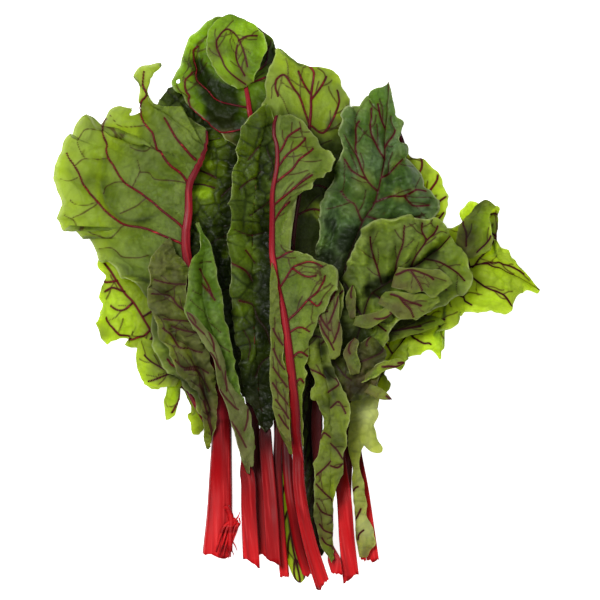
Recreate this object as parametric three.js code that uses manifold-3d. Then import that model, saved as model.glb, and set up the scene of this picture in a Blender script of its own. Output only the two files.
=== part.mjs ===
// Loose bunch of red-stemmed Swiss chard lying flat: sixteen pieces of leaf in a pile.
// Millimetres, +Z up, leaf tips toward +Y, cut stalk ends toward -Y.
import * as THREE from "three";
import { mergeVertices } from "three/addons/utils/BufferGeometryUtils.js";
import Module from "manifold-3d";

// Driving dimensions
const SHEET = 0.9; // thickness of a leaf blade
const RIB_GAP = 0.65; // clearance between a blade and its own rib
const LAYER_GAP = 1.1; // clearance between one leaf and the next
const BEND_RADIUS = 120; // how tightly a leaf bends over what lies under it
const VEIN_WIDTH = 2.6; // side rib at the midrib
const VEIN_HEIGHT = 1.8;
const COLUMNS = 4; // facet columns from the midrib to each margin
const VEIN_REACH = 3; // columns crossed by a side rib
const FOLD_DROP = 8; // height of a margin folded under, below the fold

// The pile is followed on a plan grid
const CELL = 4;
const PLAN = { x: -212, y: -240, nx: 107, ny: 120 };
const SETTLE_ROUNDS = 14;

const GREEN = 0x4f7a2a;
const RED = 0xb01f38;

// Leaves from the bottom of the pile to the top. A row runs across a blade:
// left margin x y, midrib x y, right margin x y. Rows go from the blade's base
// to its tip. A stalk's points go from the cut end to the blade. stalkWidth and
// stalkHeight are at the cut end, at the blade's base and at the tip.
const LEAVES = [
  {
    name: "base_strip",
    faceUp: false,
    crest: 2,
    margins: [1, 1],
    dome: 1,
    wave: 1,
    phase: 0.4,
    veins: [],
    rows: [
      [-13, -105, -9, -105, -6, -105],
      [-12, -125, -8, -125, -4, -125],
      [-12, -144, -7, -144, -2, -144],
      [-12, -162, -5, -162, 0, -162],
      [-9, -179, -3, -179, 3, -179],
      [-6, -192, 0, -192, 6, -193],
      [-2, -202, 2, -202, 6, -201],
      [1, -205, 2, -205, 3, -205],
    ],
  },
  {
    name: "inner_strip",
    faceUp: false,
    crest: 2,
    margins: [1, 1],
    dome: 1,
    wave: 1,
    phase: 1.4,
    veins: [],
    rows: [
      [4, -37, 9, -37, 14, -37],
      [3, -56, 9, -56, 17, -56],
      [3, -81, 9, -81, 18, -81],
      [4, -105, 10, -105, 19, -105],
      [5, -130, 12, -130, 18, -130],
      [7, -153, 13, -153, 19, -153],
      [11, -171, 15, -172, 20, -171],
      [15, -181, 17, -182, 20, -181],
      [18, -186, 18, -186, 18, -186],
    ],
  },
  {
    name: "low_left",
    faceUp: false,
    stalkWidth: [11, 6.5, 2],
    stalkHeight: [8, 5, 1.4],
    crest: 8,
    margins: [3, 3],
    dome: 5,
    wave: 3,
    phase: 0.3,
    veins: [3, 8],
    cutSlant: 0.2,
    stalk: [[-55, -177], [-55, -155], [-56, -122], [-59, -101]],
    rows: [
      [-68, -95, -64, -89, -60, -86],
      [-76, -98, -66, -86, -54, -77],
      [-76, -81, -73, -76, -42, -60],
      [-80, -72, -76, -71, -40, -50],
      [-87, -66, -82, -61, -37, -29],
      [-87, -84, -84, -56, -37, -18],
      [-95, -85, -87, -51, -37, -8],
      [-91, -55, -94, -41, -38, 13],
      [-99, -63, -97, -36, -40, 24],
      [-106, -64, -100, -32, -42, 34],
      [-116, -46, -106, -22, -50, 53],
      [-115, -35, -109, -17, -55, 63],
      [-124, -34, -112, -12, -65, 63],
      [-140, -31, -119, -1, -85, 59],
      [-145, -15, -124, 4, -95, 54],
      [-143, -4, -128, 10, -104, 50],
      [-139, 17, -135, 21, -124, 41],
      [-145, 24, -139, 26, -133, 36],
      [-143, 32, -143, 32, -143, 32],
    ],
  },
  {
    name: "far_right",
    faceUp: true,
    stalkWidth: [9, 6, 2],
    stalkHeight: [6, 4.5, 1.4],
    crest: 8,
    margins: [8, 8],
    dome: 4,
    wave: 2,
    phase: 1.1,
    veins: [10],
    cutSlant: 0.1,
    stalk: [[55, -189], [52, -166], [48, -137], [43, -108], [45, -95]],
    rows: [
      [43, -86, 50, -87, 56, -89],
      [45, -71, 54, -70, 60, -72],
      [49, -36, 67, -43, 60, -53],
      [58, -4, 82, -23, 76, -48],
      [71, 17, 94, -8, 89, -39],
      [77, 27, 99, -2, 97, -36],
      [89, 40, 109, 9, 106, -35],
      [96, 45, 113, 13, 99, -27],
      [104, 48, 117, 17, 104, -23],
      [110, 52, 120, 20, 111, -20],
      [119, 57, 124, 23, 117, -14],
      [120, 66, 129, 25, 120, -9],
      [127, 71, 133, 26, 133, -9],
      [145, 68, 142, 24, 153, -9],
      [141, 58, 147, 23, 157, -2],
      [137, 51, 152, 20, 161, 3],
      [150, 37, 159, 17, 166, 7],
      [163, 23, 168, 12, 173, 4],
      [176, 7, 176, 7, 176, 7],
    ],
  },
  {
    name: "back_right",
    faceUp: false,
    stalkWidth: [9, 7, 2],
    stalkHeight: [8, 6, 1.4],
    crest: 7,
    margins: [3, 3],
    dome: 4,
    wave: 3,
    phase: 2.0,
    veins: [3, 5, 7],
    cutSlant: 0.2,
    stalk: [[36, -192], [35, -144], [38, -94], [45, -50]],
    rows: [
      [44, -16, 54, -16, 66, -16],
      [40, 7, 63, 10, 86, 7],
      [38, 32, 69, 32, 100, 30],
      [40, 54, 74, 49, 104, 49],
      [42, 73, 77, 62, 109, 70],
      [47, 92, 78, 73, 108, 79],
      [51, 107, 79, 84, 102, 91],
      [55, 117, 78, 94, 94, 102],
      [60, 125, 77, 104, 82, 104],
      [64, 131, 75, 117, 77, 117],
      [71, 132, 71, 132, 71, 132],
    ],
  },
  {
    name: "low_right",
    faceUp: true,
    stalkWidth: [4, 4, 2],
    stalkHeight: [3, 2.4, 1.2],
    crest: 5,
    margins: [3, 2],
    dome: 1.5,
    wave: 1,
    phase: 0.9,
    veins: [4],
    cutSlant: 0.2,
    stalk: [[48, -188], [48, -186]],
    rows: [
      [45, -186, 48, -186, 50, -186],
      [43, -174, 48, -174, 57, -176],
      [42, -166, 48, -166, 55, -166],
      [42, -157, 46, -157, 50, -156],
      [41, -145, 45, -145, 50, -145],
      [40, -135, 44, -135, 48, -132],
      [40, -122, 42, -122, 45, -121],
      [37, -102, 43, -102, 49, -104],
      [38, -90, 48, -91, 61, -109],
      [38, -78, 50, -78, 55, -90],
      [40, -72, 50, -73, 58, -84],
      [45, -64, 53, -65, 59, -72],
      [57, -59, 57, -59, 57, -59],
    ],
  },
  {
    name: "back_left",
    faceUp: true,
    stalkWidth: [9.5, 7, 2],
    stalkHeight: [7, 5, 1.4],
    crest: 8,
    margins: [3, 5],
    dome: 5,
    wave: 3,
    phase: 0.1,
    veins: [5, 9, 13],
    cutSlant: 0.4,
    stalk: [[-24, -185], [-27, -158], [-30, -122], [-31, -94]],
    rows: [
      [-38, -69, -34, -71, -30, -71],
      [-50, -49, -40, -48, -31, -48],
      [-64, -25, -44, -22, -31, -22],
      [-77, 0, -48, 3, -31, 4],
      [-100, 27, -50, 28, -31, 29],
      [-122, 53, -53, 53, -30, 54],
      [-135, 63, -54, 63, -30, 65],
      [-141, 75, -55, 73, -30, 75],
      [-141, 88, -57, 84, -30, 85],
      [-136, 94, -58, 91, -30, 94],
      [-121, 97, -60, 99, -32, 102],
      [-119, 108, -61, 107, -33, 112],
      [-112, 121, -63, 114, -35, 120],
      [-106, 131, -66, 122, -39, 127],
      [-100, 141, -68, 130, -44, 132],
      [-98, 148, -72, 137, -51, 137],
      [-92, 153, -77, 143, -61, 141],
      [-84, 153, -84, 153, -84, 153],
    ],
  },
  {
    name: "top_left",
    faceUp: false,
    stalkWidth: [7, 6, 2],
    stalkHeight: [7, 5, 1.4],
    crest: 8,
    margins: [3, 3],
    dome: 5,
    wave: 3,
    phase: 1.7,
    veins: [1, 4, 8, 11],
    cutSlant: 0.1,
    stalk: [[-9, -200], [-11, -176], [-13, -144], [-14, -115], [-14, -86], [-22, -22], [-29, 58]],
    rows: [
      [-41, 107, -31, 107, -25, 107],
      [-54, 120, -32, 125, -21, 123],
      [-70, 132, -34, 135, -17, 135],
      [-81, 145, -35, 143, -14, 145],
      [-89, 153, -36, 149, -13, 153],
      [-92, 160, -37, 154, -12, 158],
      [-84, 170, -37, 161, -11, 167],
      [-84, 176, -37, 163, -11, 171],
      [-80, 186, -37, 166, -12, 174],
      [-73, 194, -35, 170, -13, 179],
      [-66, 202, -33, 173, -14, 182],
      [-56, 207, -30, 176, -15, 186],
      [-43, 203, -27, 181, -17, 189],
      [-32, 200, -25, 186, -20, 192],
      [-24, 194, -24, 194, -24, 194],
    ],
  },
  {
    name: "top_centre",
    faceUp: false,
    stalkWidth: [8, 7, 2],
    stalkHeight: [7, 5.5, 1.4],
    crest: 8,
    margins: [4, 4],
    dome: 5,
    wave: 3,
    phase: 0.6,
    veins: [1, 3, 5, 7, 9],
    cutSlant: 0.1,
    stalk: [[8, -199], [2, -179], [-2, -158], [-5, -140], [-7, -115], [-9, -72], [-9, -22]],
    rows: [
      [-18, 7, -7, 6, 19, 8],
      [-25, 29, -4, 32, 28, 36],
      [-28, 58, -1, 60, 33, 61],
      [-30, 83, 4, 89, 35, 85],
      [-30, 108, 7, 111, 36, 108],
      [-29, 128, 9, 126, 40, 128],
      [-24, 148, 10, 138, 39, 142],
      [-22, 160, 10, 147, 34, 153],
      [-19, 171, 11, 154, 31, 161],
      [-14, 181, 12, 160, 26, 166],
      [-4, 175, 12, 164, 18, 168],
      [9, 168, 9, 168, 9, 168],
    ],
  },
  {
    name: "centre_dark",
    faceUp: true,
    stalkWidth: [10.5, 9, 2],
    stalkHeight: [8, 5, 1.4],
    crest: 8,
    margins: [6, 6],
    dome: 6,
    wave: 2.5,
    phase: 1.4,
    veins: [5, 8],
    cutSlant: 0.5,
    stalk: [[-17, -189], [-19, -151], [-22, -112]],
    rows: [
      [-25, -95, -23, -96, -21, -95],
      [-30, -85, -24, -85, -17, -85],
      [-34, -73, -27, -73, -15, -73],
      [-38, -58, -28, -55, -11, -55],
      [-42, -35, -30, -33, -8, -32],
      [-45, -9, -31, -8, -6, -7],
      [-47, 18, -32, 17, -6, 18],
      [-48, 43, -32, 42, -6, 43],
      [-47, 68, -31, 66, -6, 68],
      [-45, 92, -29, 87, -7, 89],
      [-42, 108, -27, 106, -9, 108],
      [-37, 125, -24, 122, -13, 122],
      [-30, 134, -23, 133, -17, 133],
      [-22, 141, -22, 141, -22, 141],
    ],
  },
  {
    name: "upper_right",
    faceUp: true,
    stalkWidth: [8, 7, 2],
    stalkHeight: [8, 5, 1.4],
    crest: 8,
    margins: [6, 6],
    dome: 6,
    wave: 3,
    phase: 2.2,
    veins: [3, 5, 8],
    cutSlant: 0.3,
    stalk: [[21, -181], [19, -155], [16, -122], [14, -94], [15, -72], [19, -43]],
    rows: [
      [18, 0, 30, -1, 40, 0],
      [15, 25, 36, 27, 54, 27],
      [14, 43, 45, 51, 74, 45],
      [17, 61, 50, 61, 91, 56],
      [21, 76, 55, 68, 102, 65],
      [28, 92, 58, 77, 101, 74],
      [32, 107, 60, 86, 91, 81],
      [31, 115, 61, 91, 86, 92],
      [32, 132, 63, 104, 79, 110],
      [37, 138, 63, 111, 74, 116],
      [48, 145, 64, 125, 70, 132],
      [53, 146, 65, 134, 69, 140],
      [60, 152, 66, 146, 68, 151],
      [65, 156, 66, 153, 67, 156],
      [66, 158, 66, 158, 66, 158],
    ],
  },
  {
    name: "broad_left",
    faceUp: false,
    stalkWidth: [21, 14, 2.4],
    stalkHeight: [10, 7, 1.6],
    crest: 11,
    margins: [4, 1],
    dome: 6,
    wave: 3.5,
    phase: 0.8,
    fold: { side: 1, bulge: [9, 6] },
    veins: [2, 4, 6, 11, 14],
    cutSlant: 0.1,
    stalk: [[-58, -184], [-56, -155], [-55, -122]],
    rows: [
      [-60, -94, -54, -93, -48, -93],
      [-71, -78, -55, -76, -47, -76],
      [-83, -62, -58, -55, -50, -55],
      [-99, -45, -64, -32, -56, -33],
      [-107, -22, -72, -13, -65, -14],
      [-108, 0, -79, 4, -97, 0],
      [-133, 23, -78, 22, -100, 20],
      [-144, 31, -79, 30, -102, 28],
      [-150, 42, -80, 38, -103, 35],
      [-164, 53, -80, 50, -104, 45],
      [-173, 63, -78, 63, -104, 58],
      [-175, 82, -78, 73, -104, 69],
      [-176, 94, -78, 79, -102, 75],
      [-168, 118, -75, 89, -98, 84],
      [-161, 127, -73, 93, -95, 89],
      [-155, 132, -72, 95, -93, 90],
      [-144, 124, -71, 97, -91, 93],
      [-140, 129, -70, 98, -90, 94],
      [-128, 142, -69, 101, -87, 97],
      [-117, 141, -68, 103, -85, 98],
      [-114, 153, -68, 104, -84, 99],
      [-119, 161, -68, 105, -83, 100],
      [-108, 170, -67, 107, -81, 103],
      [-99, 172, -66, 108, -80, 104],
      [-104, 158, -66, 110, -77, 107],
      [-107, 150, -66, 112, -75, 108],
      [-104, 141, -65, 113, -73, 110],
      [-93, 139, -65, 115, -71, 112],
      [-81, 135, -65, 117, -69, 115],
      [-71, 129, -65, 119, -67, 117],
      [-65, 122, -65, 122, -65, 122],
    ],
  },
  {
    name: "front_right",
    faceUp: true,
    stalkWidth: [12, 8, 2],
    stalkHeight: [8, 5.5, 1.4],
    crest: 9,
    margins: [6, 6],
    dome: 5,
    wave: 3,
    phase: 0.2,
    veins: [3, 6, 9],
    cutSlant: -0.55,
    stalk: [[39, -201], [36, -173], [34, -144], [31, -121], [28, -94], [31, -72]],
    rows: [
      [32, -56, 38, -58, 45, -60],
      [30, -29, 42, -33, 57, -40],
      [31, -4, 47, -14, 66, -25],
      [35, 20, 52, 2, 71, -16],
      [40, 35, 60, 9, 81, -14],
      [46, 46, 68, 14, 89, -12],
      [53, 55, 76, 19, 100, -5],
      [64, 59, 82, 23, 110, 0],
      [76, 60, 89, 27, 120, 6],
      [86, 58, 95, 32, 126, 14],
      [94, 57, 101, 36, 125, 22],
      [102, 58, 105, 40, 117, 35],
      [110, 46, 110, 46, 110, 46],
    ],
  },
  {
    name: "narrow_left",
    faceUp: true,
    stalkWidth: [12, 10.5, 2],
    stalkHeight: [9, 6, 1.4],
    crest: 9,
    margins: [12, 12],
    dome: 3,
    wave: 2,
    phase: 0.5,
    veins: [7, 9, 12],
    cutSlant: 0.9,
    stalk: [[-33, -189], [-34, -169], [-35, -148]],
    rows: [
      [-36, -125, -35, -125, -33, -125],
      [-40, -115, -39, -115, -32, -113],
      [-42, -105, -41, -105, -30, -104],
      [-44, -94, -43, -94, -31, -96],
      [-47, -83, -46, -83, -34, -86],
      [-49, -73, -48, -73, -37, -76],
      [-52, -65, -50, -65, -39, -67],
      [-60, -42, -53, -44, -44, -45],
      [-69, -27, -59, -28, -48, -27],
      [-79, -13, -65, -13, -50, -11],
      [-81, 0, -68, 1, -53, 0],
      [-78, 14, -68, 15, -56, 15],
      [-76, 27, -67, 28, -58, 27],
      [-71, 37, -66, 38, -60, 37],
      [-71, 46, -68, 46, -63, 45],
      [-72, 56, -72, 56, -72, 56],
    ],
  },
  {
    name: "narrow_right",
    faceUp: true,
    stalkWidth: [8, 9.5, 2],
    stalkHeight: [7, 5, 1.4],
    crest: 9,
    margins: [11, 10],
    dome: 3,
    wave: 2,
    phase: 1.9,
    veins: [6, 9, 12],
    cutSlant: 0.3,
    stalk: [[29, -197], [28, -192]],
    rows: [
      [23, -189, 26, -186, 27, -184],
      [17, -177, 25, -176, 26, -175],
      [14, -162, 25, -162, 26, -162],
      [12, -148, 25, -148, 26, -148],
      [12, -133, 24, -135, 28, -135],
      [12, -119, 24, -120, 33, -122],
      [16, -106, 24, -107, 33, -111],
      [18, -89, 24, -91, 37, -94],
      [14, -74, 23, -76, 38, -78],
      [10, -70, 22, -66, 35, -68],
      [11, -56, 19, -53, 29, -55],
      [5, -35, 16, -37, 24, -42],
      [8, -19, 17, -22, 30, -26],
      [14, -10, 21, -10, 32, -12],
      [15, -4, 23, -1, 34, 0],
      [22, 5, 26, 6, 33, 9],
      [29, 17, 29, 17, 29, 17],
    ],
  },
  {
    name: "front_centre",
    faceUp: false,
    stalkWidth: [11, 8, 2],
    stalkHeight: [10, 7, 1.6],
    crest: 12,
    margins: [1, 8],
    dome: 3,
    wave: 2,
    phase: 1.2,
    fold: { side: 0, bulge: [14, 7] },
    veins: [7, 8, 10, 12, 13],
    cutSlant: -0.6,
    stalk: [[18, -203], [13, -187], [9, -173], [4, -151], [1, -127]],
    rows: [
      [-3, -111, 1, -110, 4, -108],
      [-13, -99, 0, -99, 4, -98],
      [-18, -81, 0, -82, 5, -76],
      [-18, -63, -2, -62, 6, -52],
      [-9, -40, -4, -43, 9, -38],
      [2, -23, -6, -27, 11, -25],
      [2, -9, -9, -9, 20, -8],
      [1, 12, -14, 12, 30, 19],
      [-2, 27, -16, 26, 15, 29],
      [-5, 36, -17, 35, -10, 39],
      [-4, 50, -17, 50, -7, 56],
      [-2, 63, -17, 63, 0, 71],
      [0, 78, -17, 77, 15, 86],
      [1, 95, -14, 95, 27, 97],
      [-1, 109, -14, 109, 18, 111],
      [-5, 118, -16, 117, 10, 120],
      [-9, 125, -16, 125, 1, 130],
      [-14, 132, -14, 132, -14, 132],
    ],
  },
];

const wasm = await Module();
wasm.setup();

const mix = (a, b, t) => a + (b - a) * t;
const vec = (x, y, z) => new THREE.Vector3(x, y, z);

// Plan grid helpers

const planCells = (value) => new Float32Array(PLAN.nx * PLAN.ny).fill(value);

function cellOf(x, y) {
  return Math.floor((y - PLAN.y) / CELL) * PLAN.nx + Math.floor((x - PLAN.x) / CELL);
}

function sampleLift(lift, x, y) {
  const gx = (x - PLAN.x) / CELL - 0.5;
  const gy = (y - PLAN.y) / CELL - 0.5;
  const ix = Math.floor(gx);
  const iy = Math.floor(gy);
  const at = (dx, dy) => lift[(iy + dy) * PLAN.nx + ix + dx];
  const low = mix(at(0, 0), at(1, 0), gx - ix);
  const high = mix(at(0, 1), at(1, 1), gx - ix);
  return mix(low, high, gy - iy);
}

function needAround(need, x, y, value) {
  const ix = Math.floor((x - PLAN.x) / CELL - 0.5);
  const iy = Math.floor((y - PLAN.y) / CELL - 0.5);
  for (const cell of [0, 1, PLAN.nx, PLAN.nx + 1]) {
    const k = iy * PLAN.nx + ix + cell;
    need[k] = Math.max(need[k], value);
  }
}

// A soft dome of the bend radius over every point that needs lifting
function dome(need, count, stride, other, otherStride) {
  const out = planCells(0);
  const reach = Math.ceil(Math.sqrt(2 * BEND_RADIUS * 70) / CELL);
  for (let o = 0; o < other; o += 1) {
    for (let i = 0; i < count; i += 1) {
      const source = need[o * otherStride + i * stride];
      if (source <= 0) continue;
      for (let d = -reach; d <= reach; d += 1) {
        const k = i + d;
        if (k < 0 || k >= count) continue;
        const value = source - (d * CELL) ** 2 / (2 * BEND_RADIUS);
        const cell = o * otherStride + k * stride;
        if (value > out[cell]) out[cell] = value;
      }
    }
  }
  return out;
}

function bendOver(need) {
  const across = dome(need, PLAN.nx, 1, PLAN.ny, PLAN.nx);
  let lift = dome(across, PLAN.ny, PLAN.nx, PLAN.nx, 1);
  for (let pass = 0; pass < 16; pass += 1) {
    const next = lift.slice();
    for (let y = 1; y < PLAN.ny - 1; y += 1) {
      for (let x = 1; x < PLAN.nx - 1; x += 1) {
        const k = y * PLAN.nx + x;
        const mean = (lift[k - 1] + lift[k + 1] + lift[k - PLAN.nx] + lift[k + PLAN.nx]) / 4;
        if (mean > next[k]) next[k] = mean;
      }
    }
    lift = next;
  }
  return lift;
}

// Blade: a grid of points, rows from base to tip, columns from margin to margin

const WIDTH = 2 * COLUMNS + 1;

function ribHeight(leaf, i) {
  if (!leaf.stalkHeight) return 0;
  const along = i / (leaf.rows.length - 1);
  return mix(leaf.stalkHeight[1], leaf.stalkHeight[2], Math.sqrt(along));
}

function ribWidth(leaf, i) {
  const along = i / (leaf.rows.length - 1);
  return mix(leaf.stalkWidth[1], leaf.stalkWidth[2], Math.sqrt(along));
}

function spineHeight(leaf, i) {
  const along = i / (leaf.rows.length - 1);
  const rise = Math.min(1, (i + 1) / 3) * (1 - 0.45 * along * along);
  const under = leaf.faceUp ? SHEET + RIB_GAP + ribHeight(leaf, i) : SHEET;
  return Math.max(under, leaf.crest * rise);
}

function sidePoint(leaf, row, i, side, t) {
  const last = leaf.rows.length - 1;
  const spine = vec(row[2], row[3], spineHeight(leaf, i));
  const end = side === 0 ? vec(row[0], row[1], 0) : vec(row[4], row[5], 0);
  const tip = 1 - Math.exp(-(last - i) / 2);
  const across = end.distanceTo(vec(row[2], row[3], 0));
  const size = Math.min(1, across / 25) * tip;
  const bend = spine.clone().lerp(end, 0.5);
  if (leaf.fold && leaf.fold.side === side) {
    end.z = Math.max(SHEET, spine.z - FOLD_DROP);
    const away = side === 0 ? -1 : 1;
    bend.x = spine.x + away * mix(leaf.fold.bulge[0], leaf.fold.bulge[1], i / last) * tip;
    bend.y = mix(spine.y, end.y, 0.25);
    bend.z = mix(spine.z, end.z, 0.35);
  } else {
    end.z = mix(spine.z, leaf.margins[side], Math.min(1, across / 12));
    end.z += leaf.wave * size * Math.sin(2.35 * i + leaf.phase + 1.3 * side);
    end.z = Math.max(SHEET, end.z);
    bend.z = mix(spine.z, end.z, 0.5) + leaf.dome * size * Math.min(1, i / 3);
  }
  const a = spine.multiplyScalar((1 - t) * (1 - t));
  return a.addScaledVector(bend, 2 * t * (1 - t)).addScaledVector(end, t * t);
}

function bladeGrid(leaf) {
  const points = [];
  leaf.rows.forEach((row, i) => {
    if (i === leaf.rows.length - 1) {
      points.push(vec(row[2], row[3], spineHeight(leaf, i)));
      return;
    }
    for (let j = -COLUMNS; j <= COLUMNS; j += 1) {
      points.push(sidePoint(leaf, row, i, j < 0 ? 0 : 1, Math.abs(j) / COLUMNS));
    }
  });
  return points;
}

function bladeTriangles(leaf) {
  const triangles = [];
  const rows = leaf.rows.length - 1;
  const tip = rows * WIDTH;
  for (let i = 0; i < rows; i += 1) {
    for (let j = 0; j < WIDTH - 1; j += 1) {
      const a = i * WIDTH + j;
      if (i === rows - 1) {
        triangles.push([a, a + 1, tip]);
      } else if (j < COLUMNS) {
        triangles.push([a, a + 1, a + WIDTH], [a + 1, a + WIDTH + 1, a + WIDTH]);
      } else {
        triangles.push([a, a + 1, a + WIDTH + 1], [a, a + WIDTH + 1, a + WIDTH]);
      }
    }
  }
  return triangles;
}

function surfaceNormals(points, triangles) {
  const normals = points.map(() => vec(0, 0, 0));
  for (const [a, b, c] of triangles) {
    const u = points[b].clone().sub(points[a]);
    const v = points[c].clone().sub(points[a]);
    const n = u.cross(v);
    for (const k of [a, b, c]) normals[k].add(n);
  }
  return normals.map((n) => n.normalize());
}

// The sheet's two faces are split alike and joined by a rim
function bladeSolid(leaf, points, triangles, normals) {
  const count = points.length;
  const top = points.map((p, k) => p.clone().addScaledVector(normals[k], SHEET / 2));
  const under = points.map((p, k) => p.clone().addScaledVector(normals[k], -SHEET / 2));
  const faces = triangles.map((t) => [...t]);
  for (const [a, b, c] of triangles) faces.push([a + count, c + count, b + count]);
  const rows = leaf.rows.length - 1;
  const tip = rows * WIDTH;
  const loop = [];
  for (let j = 0; j < WIDTH; j += 1) loop.push(j);
  for (let i = 1; i < rows; i += 1) loop.push(i * WIDTH + WIDTH - 1);
  loop.push(tip);
  for (let i = rows - 1; i > 0; i -= 1) loop.push(i * WIDTH);
  loop.forEach((a, k) => {
    const b = loop[(k + 1) % loop.length];
    faces.push([a, a + count, b], [b, a + count, b + count]);
  });
  return { points: [...top, ...under], faces };
}

// Stalks and ribs: closed tubes through stations, each with its own section

function tube(stations) {
  const points = [];
  const faces = [];
  const size = stations[0].section.length;
  stations.forEach((station, i) => {
    const before = stations[Math.max(0, i - 1)].at;
    const after = stations[Math.min(stations.length - 1, i + 1)].at;
    const along = after.clone().sub(before).normalize();
    const side = along.clone().cross(station.out).normalize();
    const out = side.clone().cross(along).normalize();
    for (const [across, height, shift] of station.section) {
      const p = station.at.clone().addScaledVector(side, across).addScaledVector(out, height);
      points.push(p.addScaledVector(along, shift || 0));
    }
    if (i === 0) return;
    for (let k = 0; k < size; k += 1) {
      const a = (i - 1) * size + k;
      const b = (i - 1) * size + ((k + 1) % size);
      faces.push([a, b, a + size], [b, b + size, a + size]);
    }
  });
  const end = (stations.length - 1) * size;
  for (let k = 1; k < size - 1; k += 1) {
    faces.push([0, k + 1, k], [end, end + k, end + k + 1]);
  }
  let volume = 0;
  for (const [a, b, c] of faces) volume += points[a].dot(points[b].clone().cross(points[c]));
  return { points, faces: volume < 0 ? faces.map(([a, b, c]) => [a, c, b]) : faces };
}

// A stalk is flat underneath and fluted above
function stalkSection(width, height, foot, slant) {
  const base = SHEET / 2 + RIB_GAP;
  const outline = [
    [-foot, 0], [foot, 0], [0.5, 0.4], [0.34, 0.92], [0.12, 0.84], [-0.1, 1], [-0.34, 0.9], [-0.5, 0.4],
  ];
  return outline.map(([u, v]) => [u * width, base + v * height, -slant * u * width]);
}

function ribSection(width, height, base) {
  return [[0, base], [width / 2, base + height / 2], [0, base + height], [-width / 2, base + height / 2]];
}

// The ribbed face looks up on a leaf lying face down, and down on one lying face up
function crestNormal(leaf, normals, i) {
  const k = i * WIDTH + COLUMNS;
  const out = normals[k].clone();
  if (i > 0) out.add(normals[k - WIDTH]);
  if (i < leaf.rows.length - 2) out.add(normals[k + WIDTH]);
  return out.normalize().multiplyScalar(leaf.faceUp ? -1 : 1);
}

function stalkRoute(leaf) {
  const last = leaf.rows[0];
  const points = [...leaf.stalk, [last[2], last[3]]].map(([x, y]) => vec(x, y, 0));
  const curve = new THREE.CatmullRomCurve3(points, false, "centripetal");
  return curve.getSpacedPoints(Math.max(2, Math.round(curve.getLength() / 22)));
}

function stalkTubes(leaf, points, normals, lift) {
  if (!leaf.stalk) return [];
  const facing = leaf.faceUp ? -1 : 1;
  const base = SHEET / 2 + RIB_GAP;
  const route = stalkRoute(leaf);
  const stations = [];
  route.slice(0, -1).forEach((p, i) => {
    const along = i / (route.length - 1);
    const width = mix(leaf.stalkWidth[0], leaf.stalkWidth[1], along);
    const height = mix(leaf.stalkHeight[0], leaf.stalkHeight[1], along);
    const z = leaf.faceUp ? base + height : -base;
    const at = vec(p.x, p.y, z + sampleLift(lift, p.x, p.y));
    const slant = i === 0 ? leaf.cutSlant : 0;
    stations.push({ at, out: vec(0, 0, facing), section: stalkSection(width, height, 0.4, slant) });
  });
  const rows = leaf.rows.length - 1;
  for (let i = 0; i < rows; i += 1) {
    const k = i * WIDTH + COLUMNS;
    const foot = i === 0 ? 0.3 : 0.16;
    const section = stalkSection(ribWidth(leaf, i), ribHeight(leaf, i), foot, 0);
    stations.push({ at: points[k].clone(), out: crestNormal(leaf, normals, i), section });
  }
  const tubes = [tube(stations)];
  for (const i of leaf.veins) {
    for (const side of [-1, 1]) {
      if (leaf.fold && leaf.fold.side === (side < 0 ? 0 : 1)) continue;
      const crest = i * WIDTH + COLUMNS;
      const out = crestNormal(leaf, normals, i);
      const heart = points[crest].clone().addScaledVector(out, base + 0.45 * ribHeight(leaf, i));
      const ribs = [{ at: heart, out, section: ribSection(VEIN_WIDTH, VEIN_HEIGHT, -VEIN_HEIGHT / 2) }];
      for (let j = 1; j <= VEIN_REACH; j += 1) {
        const k = crest + side * j;
        const shrink = mix(1, 0.45, j / VEIN_REACH);
        const section = ribSection(VEIN_WIDTH * shrink, VEIN_HEIGHT * shrink, base);
        ribs.push({ at: points[k].clone(), out: normals[k].clone().multiplyScalar(facing), section });
      }
      tubes.push(tube(ribs));
    }
  }
  return tubes;
}

// Settling: a leaf is lifted until it clears the pile, then becomes part of it

function forSamples(solid, visit) {
  for (const [a, b, c] of solid.faces) {
    const [p, q, r] = [solid.points[a], solid.points[b], solid.points[c]];
    const reach = Math.max(p.distanceTo(q), q.distanceTo(r), r.distanceTo(p));
    const steps = Math.max(1, Math.ceil(reach / 2));
    for (let i = 0; i <= steps; i += 1) {
      for (let j = 0; j <= steps - i; j += 1) {
        const u = i / steps;
        const v = j / steps;
        const w = 1 - u - v;
        const x = w * p.x + u * q.x + v * r.x;
        const y = w * p.y + u * q.y + v * r.y;
        visit(x, y, w * p.z + u * q.z + v * r.z, [p, q, r]);
      }
    }
  }
}

function build(leaf, natural, triangles, lift) {
  const points = natural.map((p) => vec(p.x, p.y, p.z + sampleLift(lift, p.x, p.y)));
  const normals = surfaceNormals(points, triangles);
  const blade = bladeSolid(leaf, points, triangles, normals);
  return { blade, tubes: stalkTubes(leaf, points, normals, lift) };
}

function settle(leaf, pile) {
  const natural = bladeGrid(leaf);
  const triangles = bladeTriangles(leaf);
  const need = planCells(0);
  let lift = planCells(0);
  let built = null;
  for (let round = 0; round < SETTLE_ROUNDS; round += 1) {
    built = build(leaf, natural, triangles, lift);
    let worst = 0;
    for (const solid of [built.blade, ...built.tubes]) {
      forSamples(solid, (x, y, z, corners) => {
        const short = pile[cellOf(x, y)] + LAYER_GAP - z;
        if (short <= 0.02) return;
        worst = Math.max(worst, short);
        needAround(need, x, y, sampleLift(lift, x, y) + short);
        for (const corner of corners) {
          needAround(need, corner.x, corner.y, sampleLift(lift, corner.x, corner.y) + short);
        }
      });
    }
    if (worst === 0) break;
    lift = bendOver(need);
  }
  for (const solid of [built.blade, ...built.tubes]) {
    forSamples(solid, (x, y, z) => {
      const cell = cellOf(x, y);
      pile[cell] = Math.max(pile[cell], z);
    });
  }
  return built;
}

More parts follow.
